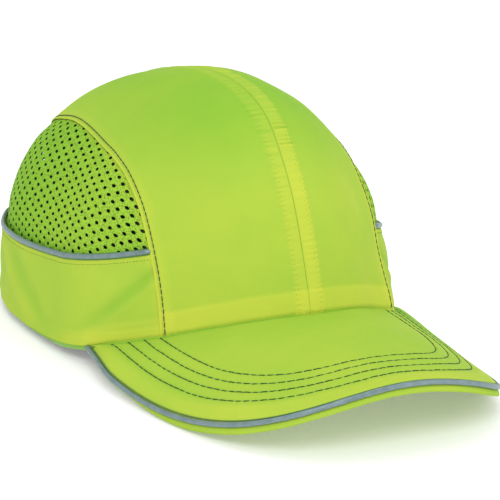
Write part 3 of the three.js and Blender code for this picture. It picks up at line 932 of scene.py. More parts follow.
def mesh_panel(name, side):
    """The open mesh, made of six-sided cells with a hole through each."""
    cell = np.array([
        (0.5, 0), (0.5, 1), (0.25, 1.5), (0, 2), (-0.25, 1.5), (-0.5, 1),
        (-0.5, 0), (-0.5, -1), (-0.25, -1.5), (0, -2), (0.25, -1.5), (0.5, -1),
    ]) * [MESH_PITCH, MESH_ROW / 3]
    centres, phi = mesh_cells()
    hole = mesh_holes(phi, len(cell))
    levels = [                        # outline, height, and how dark the painted shade in the hole is there
        (cell[None], 0.0, 0), (hole * 1.2, 0.05, 0), (hole, -0.08, 0.85),
        (hole, -MESH_THICK, 1), (hole * 1.4, -MESH_THICK, 1), (cell[None], -MESH_THICK, 0.6),
    ]
    index, lift, painted_hole_shade, faces, plane = {}, [], [], [], []
    for number, centre in enumerate(centres):
        rings = []
        for level, (shape, height, dark) in enumerate(levels):
            ids = []
            for x, y in centre + shape[number if len(shape) > 1 else 0]:
                key = (round(x, 3), round(y, 3), level)
                if key not in index:
                    index[key] = len(plane)
                    plane.append((x, y))
                    lift.append(height)
                    painted_hole_shade.append(dark)
                ids.append(index[key])
            rings.append(ids)
        for upper, lower in zip(rings, rings[1:]):
            faces += ring_faces(upper, lower)
    plane = np.array(plane)
    p = mesh_surface(plane[:, 0], plane[:, 1])
    rear = (p[:, 1] > REAR_Y) & (p[:, 0] < arch_half_at(p[:, 2]) + 0.4)
    p[rear, 0] = arch_half_at(p[rear, 2]) + 0.4
    degrees = angle_of(CROWN, p) / DEG
    above = p[:, 2] - piping_height(degrees * DEG)
    from_seam = over_seam(p)
    puff = 1.3 * smooth((from_seam - 1) / 12) * smooth((above - 1) / 12)
    edge = 0.5 * smooth((1.5 - from_seam) / 1.5)
    points = lay(p, MESH_DEPTH + np.array(lift) + puff - edge)
    piece = make_object(name, fitted(points, side), faces, MESH)
    tint = 0.5 - 0.3 * smooth((7 - above) / 7) - 0.3 * smooth((degrees - 80) / 40)
    tint += 0.2 * smooth((4.5 - from_seam) / 3)
    set_attribute(piece, "tint", np.clip(tint, 0, 1))
    set_attribute(piece, "painted_hole_shade", painted_hole_shade)
    set_attribute(piece, "sparse", smooth((degrees - 66) / 40))
    set_uv(piece, plane)
    return piece


for label, side in SIDES:
    panel = mesh_panel(f"mesh_cloth_{label}", side)
    place(panel, "cap", "mesh_fabric", f"mesh_panel_{label}")

# ---- Side bands ------------------------------------------------------------------------------

BAND_TOP = 1.1                        # below the piping's centre line
BRIM_BESIDE = 79                      # degrees round which the brim's root meets the band


def band_height(phi, v):
    """The height on a side band, v running from its top to the rim."""
    top = piping_height(phi) - BAND_TOP
    return top + (rim_height(phi) - top) * v


def band_edges(v):
    """The plan angles of the band's front and rear ends, closed in on step by step."""
    front, rear = 50 * DEG, 150 * DEG
    for _ in range(5):
        z = band_height(front, v)
        front = angle_of(CROWN, seam_point(seam_turn_at_height(z), 0.25))
        z = band_height(rear, v)
        rear = rear_angle(arch_half_at(z) + 0.2, z)
    return front, rear


def flare(phi, v):
    """The band stands a little off the head towards the rear, most at its top edge."""
    return 1.1 * smooth((phi / DEG - 70) / 45) * smooth((157 - phi / DEG) / 14) * (1 - 0.5 * v)


def side_band(name, side):
    """The band below the mesh, turned in at its front, with soft slanting creases."""
    v = clustered(110, 0.85)
    front, rear = band_edges(v)
    u = clustered(230, 0.6)[None, :]
    phi = front[:, None] + (rear - front)[:, None] * u
    v = v[:, None]
    z = band_height(phi, v)
    p = surface(CROWN, phi, z)
    from_top, from_low = edge_distances(p, 0)
    from_front, from_rear = edge_distances(p, 1)
    degrees = phi / DEG

    def crease(at_top, at_low, width, depth):
        """A fold that runs between two plan angles, at the band's top and at its foot."""
        middle = at_top + (at_low - at_top) * v
        return depth * bell(degrees - middle, width) * smooth(v / 0.25) * smooth((1.02 - v) / 0.3)

    # The front edge dips under the long seam; a top edge stitched down below the piping.
    height = flare(phi, v) - 0.55 * smooth((2.8 - from_front) / 2.2)
    height += 0.3 * smooth((3.4 - from_top) / 1.0) - 0.5 * bell(from_top, 0.6)
    height -= 0.14 * bell(from_top - 2.5, 0.4)
    height += 0.12 * ripple(degrees / 2.6) * bell(from_top - 2.5, 1.6)

    # Creases that slant down from the piping, the front ones ending above the rim.
    short = smooth((0.9 - v) / 0.4)
    height += (crease(44, 84, 4.0, -0.9) + crease(39, 78, 3.5, 0.6)) * short
    height += crease(118, 92, 4.0, -0.8) + crease(126, 101, 3.5, 0.5)
    height += crease(76, 79, 6.0, 0.35) + crease(140, 128, 4.0, -0.4)
    height += 0.2 * waves(p, 71, 16) * smooth(from_top / 6)

    # The hem along the foot, drawn in where the brim is sewn on, and the rear edge.
    over_brim = np.where(degrees < BRIM_BESIDE, z - brim_root_height(phi), AWAY)
    beside = smooth((BRIM_BESIDE - degrees) / 5)
    height += 0.25 * smooth((7.5 - from_low) / 1.5) - edge_curl(from_low, 0.7)
    height -= (0.4 * bell(over_brim, 0.9) - 0.18 * smooth((9 - over_brim) / 2)) * beside
    height -= 0.4 * smooth((1.2 - from_rear) / 1.0)
    outer = lay(p, height)

    # Painted shade in the sunk creases and in the groove along the brim's seam, and painted light
    # on the raised crease. The tint is also lighter along the front, the foot and the top.
    tint = 0.56 + 0.05 * waves(p, 72, 40) + 0.14 * smooth((7 - from_front) / 5)
    tint += 0.2 * smooth((9 - from_low) / 5) * smooth((100 - degrees) / 25)
    tint += crease(44, 84, 4.0, -0.3) * short
    tint += crease(118, 92, 4.0, -0.2) + crease(126, 101, 4.0, 0.12)
    tint += 0.12 * smooth((4 - from_top) / 2) - 0.45 * bell(over_brim, 0.5) * beside
    tint += 0.14 * smooth((10.5 - over_brim) / 3) * beside
    return cloth_shell(name, fitted(outer, side), CLOTH, LIME, np.clip(tint, 0, 1))


band_cloth = {}
for label, side in SIDES:
    band_cloth[label] = side_band(f"band_cloth_{label}", side)
    place(band_cloth[label], "cap", "lime_fabric", f"side_band_{label}")

# ---- Side piping and its stitching -----------------------------------------------------------


def piping_line(offset, lift):
    """Points and normals along the side piping, from the front seam to the arch."""
    start = angle_of(CROWN, seam_point(SEAM_AT_PIPING, 1.5))
    z = piping_height(np.pi)
    phi = np.linspace(start, rear_angle(arch_half_at(z) + 0.6, z), 260)
    p = surface(CROWN, phi, piping_height(phi) + offset)
    proud = lift + flare(phi, 0) - 0.75 * smooth((2.2 - arc_lengths(p[None], 1)[0]) / 2.0)
    return lay(p, proud), ellipsoid_normal(CROWN, p)


for label, side in SIDES:
    path, up = piping_line(0, 0.35)
    wobble = 1 + 0.03 * along_waves(np.arange(len(path)), 81, 12)
    bead = tube(f"piping_{label}", fitted(path, side), sided(up, side), 1.22 * wobble,
                1.12 * wobble, REFLECTIVE, sides=18)
    place(bead, "cap", "reflective_piping", f"side_piping_{label}")
    # Dark lines along the piping's top and foot: the seam's edge, and painted shade in the grooves
    # beside it.
    for edge, offset, radius in (("upper", 1.2, 0.32), ("lower", -1.2, 0.28)):
        path, up = piping_line(offset, 0.3)
        line = tube(f"piping_edge_{edge}_{label}", fitted(path, side), sided(up, side), radius,
                    radius, SEAM_SHADE_LINE, sides=8)
        place(line, "cap", "lime_fabric")
    path, up = piping_line(-BAND_TOP - 2.5, 0.22)
    row = sewn_row(tree_of(band_cloth[label]), fitted(path, side), sided(up, side))
    sew(f"band_stitching_{label}", "band", [row])

# ---- Topstitching on the crown ---------------------------------------------------------------


def crown_line(off_middle, start, end, height):
    """A path over the crown between two turns, at a distance off its middle, with normals."""
    turn = np.linspace(start, end, 400)
    p = over_top(off_middle(turn), turn)
    return lay(p, height), ellipsoid_normal(CROWN, p)


def straight(x):
    """A line at one distance off the crown's middle, for every turn."""
    return lambda turn: 0 * turn + x


def turn_over_brim(x):
    """Where the crown, x off its middle, meets the top of the brim."""
    def low(turn):
        p = over_top(x, turn)
        return p[..., 2] < brim_root_height(angle_of(CROWN, p)) + 0.4

    return float(bisect(LOWEST_TURN, 60 * DEG, low))


for label, side in SIDES:
    path, up = crown_line(seam_offset, turn_over_brim(SEAM_HALF), SEAM_REAR - 0.6 * DEG, 0.02)
    row = sewn_row(tree_of(crown_cloth[label]), fitted(path, side), sided(up, side))
    sew(f"side_seam_stitching_{label}", "side_seam", [row])

# A faint thread laid in the middle seam's groove: the seam, and painted shade along it.
seam_path, seam_up = crown_line(straight(0.0), turn_over_brim(0.0), arch_turn(0.0), -0.16)
seam_thread_and_shade = tube("centre_seam_thread", seam_path, seam_up, 0.12, 0.12, THREAD_FAINT, sides=6)
place(seam_thread_and_shade, "cap", "lime_fabric")

crown_tree = tree_of(*crown_cloth.values())
needle_rows = []
for x in (-6.2, -5.0, 6.1, 7.4):
    path, up = crown_line(straight(x), turn_over_brim(abs(x)) + 0.5 * DEG, 66 * DEG, 0.3)
    needle_rows.append(sewn_row(crown_tree, path, up))
sew("centre_tape_stitching", "centre_tape", needle_rows)

# ---- Brim ------------------------------------------------------------------------------------

BRIM_HALF, BRIM_REAR, BRIM_REACH, BRIM_SQUARE = 87.2, -20.4, 157.9, 3.0
BRIM_ASIDE = -2.0                     # the brim is sewn a little towards the wearer's right
BRIM_TOP = 1.2                        # from the brim's middle layer to its top
BRIM_END, BRIM_JOIN = 88.6 * DEG, 75 * DEG      # how far round its edge and its root reach
BRIM_DROP = 5.4                       # how far the ends of its edge hang
BRIM_CLOTH = 0.7
BRIM_INSIDE = np.array([0, -90, 0.0])
STITCH_ROWS = [                       # half width, reach ahead of BRIM_REAR, squareness
    (61.2, 125.7, 3.17), (67.0, 132.2, 3.06), (72.7, 139.3, 2.9), (78.3, 146.2, 2.79),
]


def brim_height(x, y):
    """The brim's middle layer: arched from side to side, and falling ahead."""
    ahead = (-y - 106.7) / 77.6
    return 36 - 40 * np.abs(x / 92.2) ** 2.04 - 7.6 * ahead + 2.33 * ahead * ahead


def brim_aside(y):
    return BRIM_ASIDE * smooth((BRIM_REAR - y) / 45)


def squared(angle, square):
    """Sine and cosine for an outline that is squarer than an ellipse."""
    s, c = np.sin(angle), np.cos(angle)
    grow = (np.abs(s) ** square + np.abs(c) ** square) ** (-1 / square)
    return s * grow, c * grow


def brim_edge(angle, inset):
    """A point of the brim's outline, inset from its piping's centre line; 0 is the front."""
    s, c = squared(angle, BRIM_SQUARE)
    y = BRIM_REAR - (BRIM_REACH - inset) * c
    pinch = 1 - 0.045 * smooth((y + 58) / 37.6)
    x = (BRIM_HALF - inset) * s * pinch
    drop = BRIM_DROP * smooth((np.abs(angle) / DEG - 78) / 12)
    return np.stack([x + brim_aside(y), y, brim_height(x, y) - drop], -1)


def brim_sheet(u, v, inset, offset):
    """Points of a layer of the brim: u from -1 to 1 round it, v from the crown to the edge."""
    u, v, inset, offset = np.broadcast_arrays(u[:, None], v[None, :], inset, offset)
    join = u * BRIM_JOIN
    root_z = brim_root_height(join) - BRIM_TOP + offset
    root = surface(CROWN, join, root_z)
    root = root + ellipsoid_normal(CROWN, root) * 0.1
    edge = brim_edge(u * BRIM_END, inset)
    x = root[..., 0] + (edge[..., 0] - root[..., 0]) * v
    y = root[..., 1] + (edge[..., 1] - root[..., 1]) * v
    root_error = root_z - offset - brim_height(root[..., 0], root[..., 1])
    edge_error = edge[..., 2] - brim_height(edge[..., 0], edge[..., 1])
    power = 2 - smooth((np.abs(join) / DEG - 67) / 8)
    z = brim_height(x, y) + offset
    z = z + root_error * (1 - v) ** power + edge_error * np.maximum(v, 0) ** power
    return np.stack([x, y, z], -1)


def row_pinch(y):
    """How much a row of stitching closes in towards the crown."""
    return 1 - 0.024 * smooth((y + 117.5) / 70)


def row_distance(p, row):
    """Distance from a row of the brim's stitching, in plan; negative inside it."""
    half, reach, square = row
    x = np.abs(p[..., 0] - brim_aside(p[..., 1])) / (half * row_pinch(p[..., 1]))
    y = np.abs(p[..., 1] - BRIM_REAR) / reach
    level = x ** square + y ** square
    slope = square * np.hypot(x ** (square - 1) / half, y ** (square - 1) / reach)
    return (level - 1) / np.maximum(slope, 1e-6)


def brim_cover():
    """The quilted top, its edge rolled down beside the piping and its ends tucked in."""
    u = np.linspace(-1, 1, 420)
    v = np.concatenate([np.linspace(-0.015, 0.985, 150), [0.99, 0.995, 1]])
    flat = np.ones(len(v))
    v = np.concatenate([v, np.ones(4)])
    inset = np.concatenate([1.85 * flat, [1.6, 1.35, 1.1, 0.9]])
    offset = np.concatenate([BRIM_TOP * flat, [1.1, 0.85, 0.35, -0.5]])
    tucked = 1.5 * smooth((np.abs(u) - 0.972) / 0.024)
    p = brim_sheet(u, v, inset[None, :], offset[None, :] - tucked[:, None])
    from_root = arc_lengths(p, 1)

    # Each row of stitching draws a groove with small rucks, and the cloth between rows stands up.
    height = 0.12 * waves(p, 91, 26) + 0.05 * waves(p, 92, 9)
    rows = [row_distance(p, row) for row in STITCH_ROWS]
    for k, d in enumerate(rows):
        turn = np.arctan2(p[..., 0] / BRIM_HALF, -(p[..., 1] - BRIM_REAR) / BRIM_REACH) * 110
        ruck = 1 + 0.35 * ripple(turn / 3.1 + 0.3 * along_waves(turn, 95 + k, 25))
        height -= 0.3 * ruck * bell(d, 0.8)
    quilt = smooth((rows[0] + 1) / 2) * smooth((1 - rows[-1]) / 2)
    height += 0.12 * quilt + 0.25 * smooth((rows[-1] - 0.5) / 3)
    height -= 0.5 * bell(from_root - 1.2, 0.9)
    p[..., 2] += height * np.where(v < 1, 1, 0.6)[None, :]

    # Painted shade: darker along the stitched grooves, in the groove at the root, and over the far
    # side where the cloth turns away from the light. The tint is also darker near the crown and
    # lighter outside the outer row.
    tint = 0.5 + 0.05 * waves(p, 93, 45) - 0.12 * smooth((30 - from_root) / 30)
    tint += 0.18 * smooth((rows[-1] - 1) / 4)
    tint -= 0.4 * smooth((p[..., 0] - 56) / 22) * smooth((150 + p[..., 1]) / 60)
    for d in rows:
        tint -= 0.16 * bell(d, 0.7)
    tint -= 0.35 * bell(from_root - 1.2, 0.9)
    below = BRIM_INSIDE - [0, 0, 400]
    return cloth_shell("brim_cloth_top", p, BRIM_CLOTH, LIME, np.clip(tint, 0, 1), below)


def brim_under():
    """The under cover, with a lip that comes up outside the piping's foot."""
    lip_inset = [1.5, 0.8, 0.15, -0.3, -0.5, -0.45, -0.1, 0.6, 1.8]
    lip_drop = [0.9, 1.25, 1.65, 2.3, 3.1, 3.9, 4.5, 4.8, 4.85]
    u = np.linspace(-1, 1, 320)
    v = np.linspace(1, 0, 70)[1:]
    inset = np.concatenate([lip_inset, np.full(len(v), lip_inset[-1])])
    drop = np.concatenate([lip_drop, np.full(len(v), lip_drop[-1])])[None, :]
    v = np.concatenate([np.ones(len(lip_drop)), v])
    full = smooth((72 - np.abs(u) * BRIM_END / DEG) / 18)[:, None]     # thinner at both ends
    slim = drop * (0.28 + 0.72 * full)
    inside = smooth((1 - v) / 0.08)[None, :]
    offset = -(slim * (1 - inside) + 3.4 * inside * (0.35 + 0.65 * full))
    p = brim_sheet(u, v, inset[None, :], offset)
    height = 0.1 * waves(p, 96, 22)
    for row in STITCH_ROWS:
        height -= 0.25 * bell(row_distance(p, row), 0.8) * inside
    p[..., 2] -= height
    tint = 0.52 + 0.05 * waves(p, 97, 40)
    above = BRIM_INSIDE + [0, 0, 500]
    return cloth_shell("brim_cloth_under", p, BRIM_CLOTH, LIME, np.clip(tint, 0, 1), above)


brim_top_piece = brim_cover()
place(brim_top_piece, "cap", "lime_fabric", "brim_top_cover")
brim_under_piece = brim_under()
place(brim_under_piece, "cap", "lime_fabric", "brim_under_cover")

# The piping, with a dark line above it that rises over the cover's far side, and one below it: the
# seam's edge, with painted shade in the groove and over the far side.
edge_angles = np.linspace(-89, 89, 520) * DEG
edge_path = brim_edge(edge_angles, 0)
outward = unit(edge_path - brim_edge(edge_angles, 2.0))
edge_girth = 1.2 * (1 + 0.03 * along_waves(np.arange(len(edge_path)), 98, 16))
bead = tube("piping_brim", edge_path, outward, edge_girth, edge_girth, REFLECTIVE, sides=18)
place(bead, "cap", "reflective_piping", "brim_piping")
for label, inset, rise, radius in (("upper", 0.95, 0.95, 0.24), ("lower", 0.6, -1.05, 0.26)):
    path = brim_edge(edge_angles, inset) + [0, 0, rise]
    if label == "upper":
        path[:, 2] += 0.5 * smooth((edge_angles / DEG - 34) / 12)
    line = tube(f"piping_edge_brim_{label}", path, outward, radius, radius, SEAM_SHADE_LINE, sides=8)
    place(line, "cap", "lime_fabric")


def dropped(tree, x, y, way):
    """Where points fall on a piece from above (way -1) or below (way 1), with its normals."""
    from_z = 100.0 if way < 0 else -30.0
    spots, ups = [], []
    for a, b in zip(x, y):
        hit = tree.ray_cast(Vector((a, b, from_z)) * MM, Vector((0, 0, way)))
        if hit[0] is not None:
            spots.append(np.array(hit[0]) / MM)
            normal = np.array(hit[1])
            ups.append(normal * np.sign(-way * normal[2]))
    return np.array(spots), np.array(ups)


def brim_rows(piece, way):
    """The rows of stitching laid on the brim's top (way -1) or its underside (way 1)."""
    tree = tree_of(piece)
    rows = []
    for half, reach, square in STITCH_ROWS:
        s, c = squared(np.linspace(-88, 88, 900) * DEG, square)
        y = BRIM_REAR - reach * c
        x = half * s * row_pinch(y) + brim_aside(y)
        spots, ups = dropped(tree, x, y, way)
        outside = ~is_inside(CROWN, spots)
        rows.append((spots[outside], ups[outside]))
    return rows


sew("brim_stitching_top", "brim_top", brim_rows(brim_top_piece, -1.0))
sew("brim_stitching_under", "brim_under", brim_rows(brim_under_piece, 1.0))

# ---- Rim, tapes and sweatband ----------------------------------------------------------------


def crown_layer(phi, z, depth):
    """Points at a depth inside the crown's draped cloth."""
    return lay(surface(CROWN, phi, z), -depth)


def rim_binding(name, side):
    """The tape folded over the rim, from beside the brim to the rear opening."""
    phi = np.linspace(74 * DEG, float(rear_angle(ARCH_HALF + 1, ARCH_FOOT)), 220)
    top = rim_height(phi) + 2.5
    reach = 1.3 + 1.0 * smooth((115 - phi / DEG) / 30)
    low = np.maximum(0.15, rim_height(phi) - reach)
    path = crown_layer(phi, (top + low) / 2, 2.0)
    rise = unit(crown_layer(phi, top, 2.0) - path)
    wobble = 0.06 * along_waves(phi * 90, 101, 7)
    return tube(name, fitted(path, side), sided(rise, side), 1.0 + wobble, (top - low) / 2,
                BINDING, sides=28, power=4.5)


for label, side in SIDES:
    place(rim_binding(f"rim_tape_{label}", side), "cap", "binding_tape", f"rim_binding_{label}")

SWEAT_HIGH, SWEAT_DEPTH, SWEAT_THICK = 30, 1.7, 1.35


def sweatband(phi, low):
    """A terry band that follows the inside of the crown, with two rows of stitching."""
    t = clustered(40, 0.7)[:, None]
    p = surface(CROWN, phi[None, :], low + SWEAT_HIGH * t)
    edge = np.minimum(*edge_distances(p, 0))
    outer = lay(p, -SWEAT_DEPTH - edge_curl(edge, 0.5))
    band = cloth_shell("sweatband_terry", outer, SWEAT_THICK, TERRY, 0.5)
    place(band, "cap", "sweatband_terry", "sweatband")
    rows = []
    for above in (2.0, 4.5):
        p = surface(CROWN, phi, low + above)
        rows.append((lay(p, -SWEAT_DEPTH - SWEAT_THICK), -ellipsoid_normal(CROWN, p)))
    sew("sweatband_stitching", "sweatband", rows, slot="sweatband_terry")


band_phi = np.linspace(-133, 133, 420) * DEG
sweatband(band_phi, rim_height(band_phi) + 2.8)


def inner_tape(name, across, start, end, depth, middle, side=1):
    """A tape over the inside of the crown along a seam, between two turns."""
    t = clustered(26, 0.6)[None, :] * 2 - 1
    turn = np.linspace(start, end, 300)[:, None]
    p = over_top(middle(turn) + across * t, turn)
    edge = np.minimum(*edge_distances(p, 1))
    outer = lay(p, -depth - edge_curl(edge, 0.35) + 0.05 * waves(p, 111, 9))
    return cloth_shell(name, sided(outer, side), 0.6, SEAM_TAPE, 0.42)


centre_tape = inner_tape("centre_tape", 9.0, foot_turn(0.0, 35.1), arch_turn(9.0) - 2 * DEG, 1.7,
                         straight(0.0))
place(centre_tape, "cap", "lime_fabric", "centre_seam_tape")
for label, side in SIDES:
    piece = inner_tape(f"side_tape_{label}", 4.6, foot_turn(SEAM_HALF, 37.1),
                       SEAM_REAR - 3 * DEG, 2.0, seam_offset, side)
    place(piece, "cap", "lime_fabric", f"side_seam_tape_{label}")


def rear_arch():
    """The binding round the rear opening, and the stitching beside it."""
    turn = np.linspace(0, np.pi, 260)
    x = ARCH_HALF * np.cos(turn)
    z = ARCH_FOOT + ARCH_RISE * np.sin(turn)
    spots = surface(CROWN, rear_angle(np.abs(x), z) * np.where(x < 0, -1, 1), z)
    out = unit((spots - [0, 0, ARCH_FOOT]) * [1, 0, 1])
    binding = tube("arch_tape", lay(spots, -0.4), out, 1.45, 1.5, BINDING, sides=20, power=2.6)
    place(binding, "cap", "binding_tape", "rear_arch_binding")
    beside = spots + out * 2.6
    beside = surface(CROWN, angle_of(CROWN, beside), beside[:, 2])[z > 12]
    cloth = tree_of(*crown_cloth.values(), *band_cloth.values())
    row = sewn_row(cloth, lay(beside, 0.02), ellipsoid_normal(CROWN, beside))
    sew("arch_stitching", "arch", [row], slot="binding_tape")


rear_arch()

# ---- Rear closure ----------------------------------------------------------------------------

CLOSURE_Z = 22.5
CLOSURE_AXIS = np.array([0.0, 22.5, CLOSURE_Z])
CLOSURE_HALF, CLOSURE_OUTER = 11.0, 103.6
PILE_HALF = 9.0
FLAP_END, FLAP_ROOT, ROOT_END = -17, 18, 35      # degrees off the rear, positive to the left


def closure_points(radius, degrees, z):
    """Points at a radius from the closure's axis and an angle off the rear."""
    a = np.asarray(degrees) * DEG
    a, z = np.broadcast_arrays(a, np.asarray(z, float))
    return CLOSURE_AXIS * [1, 1, 0] + np.stack([radius * np.sin(a), radius * np.cos(a), z], -1)


def closure_band(name, outer, thickness, start, end, half, material, round_start=0.0):
    """A band of the closure, its start's corners rounded to a radius in millimetres."""
    degrees = np.linspace(start, end, int(abs(end - start) * 5))[None, :]
    t = (clustered(44, 0.7) * 2 - 1)[:, None]
    along = (degrees - start) * DEG * outer
    short = half - edge_curl(along, round_start) if round_start else half
    z = CLOSURE_Z + t * short
    p = closure_points(outer, degrees, z)
    edge = np.minimum(np.minimum(*edge_distances(p, 0)), np.minimum(*edge_distances(p, 1)))
    lift = -edge_curl(edge, 0.5) + 0.05 * waves(p, 121, 14)
    p = p + unit((p - CLOSURE_AXIS) * [1, 1, 0]) * lift[..., None]
    return cloth_shell(name, p, thickness, material, 0.45, CLOSURE_AXIS)


def closure_row(outer, spots):
    """A sewn outline on the closure through corners given as (degrees, height off its middle)."""
    t = np.linspace(0, 1, 40)
    path = np.concatenate([
        closure_points(outer, a + (c - a) * t, CLOSURE_Z + b + (d - b) * t)
        for (a, b), (c, d) in zip(spots, spots[1:])
    ])
    return path, unit((path - CLOSURE_AXIS) * [1, 1, 0])


strap = closure_band("closure_strap_web", CLOSURE_OUTER, 1.15, FLAP_END, ROOT_END, CLOSURE_HALF,
                     LIME, round_start=7.0)
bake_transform(strap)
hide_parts("strap_root", "strap_flap")

outline = [(-10, 8.6), (10.5, 8.6), (10.5, -8.6), (-10, -8.6), (-14.2, -5), (-14.2, 5), (-10, 8.6)]
sew("flap_stitching", "flap", [closure_row(CLOSURE_OUTER, outline)], "strap_flap")
hook = closure_band("hook_pile", 102.05, 0.75, FLAP_END + 2, 10, PILE_HALF, HOOK, 4.0)
place(hook, "strap_flap", "hook_and_loop", "hook_patch")
loop = closure_band("loop_pile", 101.0, 0.8, -24, 12, PILE_HALF, LOOP)
place(loop, "cap", "hook_and_loop", "loop_patch")
tail = closure_band("closure_tail_web", 99.85, 1.1, -30, 14, CLOSURE_HALF, LIME)
place(tail, "cap", "lime_fabric", "loop_strap")

# ---- Impact insert ---------------------------------------------------------------------------

SHELL = 2.2                           # thickness
VENT_WIDE, VENT_LONG = 4.0, 8.5       # half sizes
VENTS = [(22, 0.42), (62, 0.46), (100, 0.46), (142, 0.42), (45, 0.66), (84, 0.7), (120, 0.68)]


def shell_point(phi, r, depth):
    """The insert, r running from 0 at its top to 1 at its lower edge."""
    phi, r = np.broadcast_arrays(np.asarray(phi, float), np.asarray(r, float))
    around = np.abs(np.arctan2(np.sin(phi), np.cos(phi))) / DEG
    low = rim_height(phi) + 11
    low = low + (46 - low) * smooth((around - 112) / 40)
    ahead = np.cos(phi)
    rise = SIDE_RISE + (end_value(INSERT, ahead, RISE) - SIDE_RISE) * ahead * ahead
    edge = np.arccos(((low - BASE) / INSERT["height"]) ** (rise / 2))
    z = BASE + INSERT["height"] * np.cos(edge * r) ** (2 / rise)
    p = surface(INSERT, phi, z)
    return p - ellipsoid_normal(INSERT, p) * np.asarray(depth, float)[..., None]


def vent_frame(phi, r):
    """A vent's middle on the shell, and the directions out of it, across it and down it."""
    outer = shell_point(phi, r, 0)
    out = unit(outer - shell_point(phi, r, SHELL))
    ahead = unit(shell_point(phi, r + 0.02, 0) - outer)
    across = unit(np.cross(out, ahead))
    return outer, out, across, np.cross(across, out)


def vent_cutters():
    """Oval plugs through the shell, one for each vent on either side."""
    count = 40
    turn = np.linspace(0, 2 * np.pi, count, endpoint=False)[:, None]
    points, faces = [], []
    for degrees, r in VENTS:
        for side in (1, -1):
            middle, out, across, down = vent_frame(side * degrees * DEG, r)
            ring = VENT_WIDE * np.cos(turn) * across + VENT_LONG * np.sin(turn) * down
            start = len(points) * count
            points += [middle + ring + out * 4, middle + ring - out * 6.5]
            upper, lower = (list(range(k, k + count)) for k in (start, start + count))
            faces += ring_faces(upper, lower) + [upper[::-1], lower]
    return make_object("vent_cutters", np.concatenate(points), faces, ABS)


def impact_shell():
    """The ABS dome, with shallow ribs inside and its vents cut through."""
    rings, segments = 44, 168
    phi = np.linspace(-np.pi, np.pi, segments, endpoint=False)[:, None]
    rise = np.linspace(0.012, 1, rings)
    r = np.concatenate([rise, [1.0, 1.0], rise[::-1]])[None, :]
    depth = np.concatenate([np.zeros(rings), [0.35 * SHELL, 0.65 * SHELL], np.full(rings, SHELL)])
    rib = bell((phi / DEG) % 60 - 30, 1.6) * smooth((r - 0.12) / 0.1) * smooth((0.9 - r) / 0.1)
    inner = (depth > SHELL - 0.1)[None, :]
    p = shell_point(phi, r, depth[None, :] + np.where(inner, 0.45 * rib, 0))
    columns = p.shape[1]
    faces = grid_faces(segments, columns, wrap=True) + end_faces(segments, columns)
    shell = make_object("insert_shell", p, faces, ABS)
    cutters = vent_cutters()
    cut = shell.modifiers.new("vents", "BOOLEAN")
    cut.operation = "DIFFERENCE"
    cut.object = cutters
    cut.solver = "EXACT"
    apply_modifiers(shell)
    bpy.data.objects.remove(cutters)
    shell.data.set_sharp_from_angle(angle=38 * DEG)
    return shell


place(impact_shell(), "insert", "shell_abs", "impact_shell")

edge_phi = np.linspace(-np.pi, np.pi, 361)
edge_spots = shell_point(edge_phi, 1.0, SHELL / 2)
edge_up = ellipsoid_normal(INSERT, edge_spots)
bead = tube("insert_edge_bead", edge_spots, edge_up, 1.5, 1.45, ABS, sides=14)
place(bead, "insert", "shell_abs")

# ---- Foam pads -------------------------------------------------------------------------------


PAD_GRAIN = 2.5                       # size of the faces that a pad is swollen with
PAD_PRESSURE, PAD_STEPS = 4, 20


def simulate(pad, limit):
    """Swells a pad a little as stuffed cloth, no point moving further than the limit."""
    remesh = pad.modifiers.new("remesh", "REMESH")
    remesh.mode = "VOXEL"
    remesh.voxel_size = PAD_GRAIN * MM
    apply_modifiers(pad)
    start = np.array([v.co for v in pad.data.vertices])
    cloth = pad.modifiers.new("cloth", "CLOTH")
    cloth.settings.use_pressure = True
    cloth.settings.uniform_pressure_force = PAD_PRESSURE
    cloth.settings.effector_weights.gravity = 0
    scene = bpy.context.scene
    for step in range(1, PAD_STEPS + 1):
        scene.frame_set(step)
    swollen = evaluated(pad)
    moved = np.array([v.co for v in swollen.vertices]) - start
    far = np.linalg.norm(moved, axis=-1, keepdims=True)
    moved *= np.minimum(1, limit * MM / np.maximum(far, 1e-9))
    pad.modifiers.clear()
    scene.frame_set(1)
    bpy.data.meshes.remove(swollen)
    pad.data.vertices.foreach_set("co", (start + moved).ravel())
    pad.data.update()


def finish_pad(pad, limit, node):
    simulate(pad, limit)
    smoother = pad.modifiers.new("smooth", "SUBSURF")
    smoother.levels = smoother.render_levels = 1
    apply_modifiers(pad)
    pad.data.polygons.foreach_set("use_smooth", [True] * len(pad.data.polygons))
    place(pad, "insert", "eva_foam", node)


PAD_DEPTH, PAD = 3.3, 5.6             # from the shell's outside to a pad's back; its thickness


def wall_pad(name, start, end, low, high):
    """A foam pad on the shell's inner face with rounded corners and a soft crown."""
    a = np.linspace(-1, 1, 46)[:, None]
    b = np.linspace(-1, 1, 22)[None, :]
    s = a * np.sqrt(1 - 0.175 * b ** 6)
    t = b * np.sqrt(1 - 0.175 * a ** 10)
    phi = ((start + end) / 2 + s * (end - start) / 2) * DEG
    z = (low + high) / 2 + t * (high - low) / 2
    p = surface(INSERT, phi, z)
    n = ellipsoid_normal(INSERT, p)
    full = ((1 - np.abs(a) ** 14) * (1 - np.abs(b) ** 8)) ** 0.5
    face = p - n * (PAD_DEPTH + 0.9 + (PAD - 1.4) * full)[..., None]
    return slab(name, p - n * PAD_DEPTH, face, FOAM)


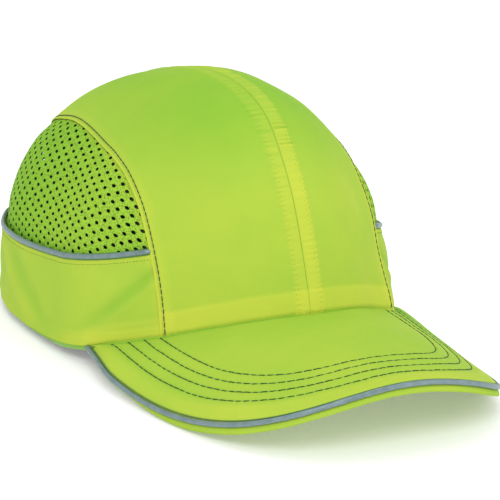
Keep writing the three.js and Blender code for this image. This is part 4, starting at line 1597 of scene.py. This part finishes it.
def crown_pad(name):
    """The round pad in the dome's top, flat where it meets the head."""
    radius, face_z, segments, rings = 29.55, 108.2, 72, 16
    phi = np.linspace(0, 2 * np.pi, segments, endpoint=False)[:, None]
    r = np.concatenate([np.linspace(0.02, 1, rings), np.linspace(1, 0.02, rings)])[None, :]
    x = radius * r * np.sin(phi)
    y = LEAN - radius * r * np.cos(phi)

    def at(z):
        return np.stack(np.broadcast_arrays(x, y, z), -1)

    top = bisect(80.0, 130.0, lambda z: is_inside(INSERT, at(z)), 40) - 3.9
    under = face_z + 1.4 * (1 - (1 - np.clip(r, 0, 1) ** 8) ** 0.5)
    upper = np.arange(2 * rings)[None, :] < rings
    p = at(np.where(upper, np.maximum(top, face_z + 2.2), under))
    faces = grid_faces(segments, 2 * rings, wrap=True) + end_faces(segments, 2 * rings)
    return make_object(name, p, faces, FOAM)


for name, node, spans in (
    ("pad_front", "front_pad", (-37.4, 37.4, 47.6, 77.4)),
    ("pad_rear", "rear_pad", (148.6, 211.4, 53.6, 83.4)),
    ("pad_side_left", "side_pad_left", (62.5, 107.5, 40.6, 71.4)),
    ("pad_side_right", "side_pad_right", (-107.5, -62.5, 40.6, 71.4)),
):
    finish_pad(wall_pad(name, *spans), 0.5, node)
finish_pad(crown_pad("pad_crown"), 0.4, "crown_pad")

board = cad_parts["brim_board"]
board.data.materials.clear()
board.data.materials.append(BOARD)

# ---- Stage -----------------------------------------------------------------------------------

bpy.context.scene.view_settings.view_transform = "Standard"


def make_stage():
    mesh = bpy.data.meshes.new("floor")
    mesh.from_pydata([(-4, -4, 0), (4, -4, 0), (4, 4, 0), (-4, 4, 0)], [], [(0, 1, 2, 3)])
    floor = bpy.data.objects.new("floor", mesh)
    bpy.context.scene.collection.objects.link(floor)
    s = Shader("floor", Roughness=0.9, Specular_IOR_Level=0.1, Emission_Color=(1, 1, 1, 1),
               Emission_Strength=0.22)
    s.set("Base Color", s.grey_ramp(s.noise(3.0), (0.3, 0.85), (0.7, 0.87)))
    mesh.materials.append(s.material)

    world = bpy.data.worlds.new("studio")
    world.use_nodes = True
    sky = world.node_tree.nodes["Background"].inputs
    sky["Color"].default_value = (1, 1, 1, 1)
    sky["Strength"].default_value = 0.82
    bpy.context.scene.world = world

    def area(name, place, size, power):
        data = bpy.data.lights.new(name, "AREA")
        data.shape = "DISK"
        data.size = size
        data.energy = power
        light = bpy.data.objects.new(name, data)
        bpy.context.scene.collection.objects.link(light)
        light.location = place
        aim = Vector((0, 0, 0.06)) - Vector(place)
        light.rotation_euler = aim.to_track_quat("-Z", "Y").to_euler()

    area("key", (-0.9, -1.3, 1.5), 1.1, 13)
    area("fill", (1.3, -1.2, 0.9), 1.2, 4.5)
    area("top", (0.1, 0.5, 1.9), 1.4, 6)


make_stage()
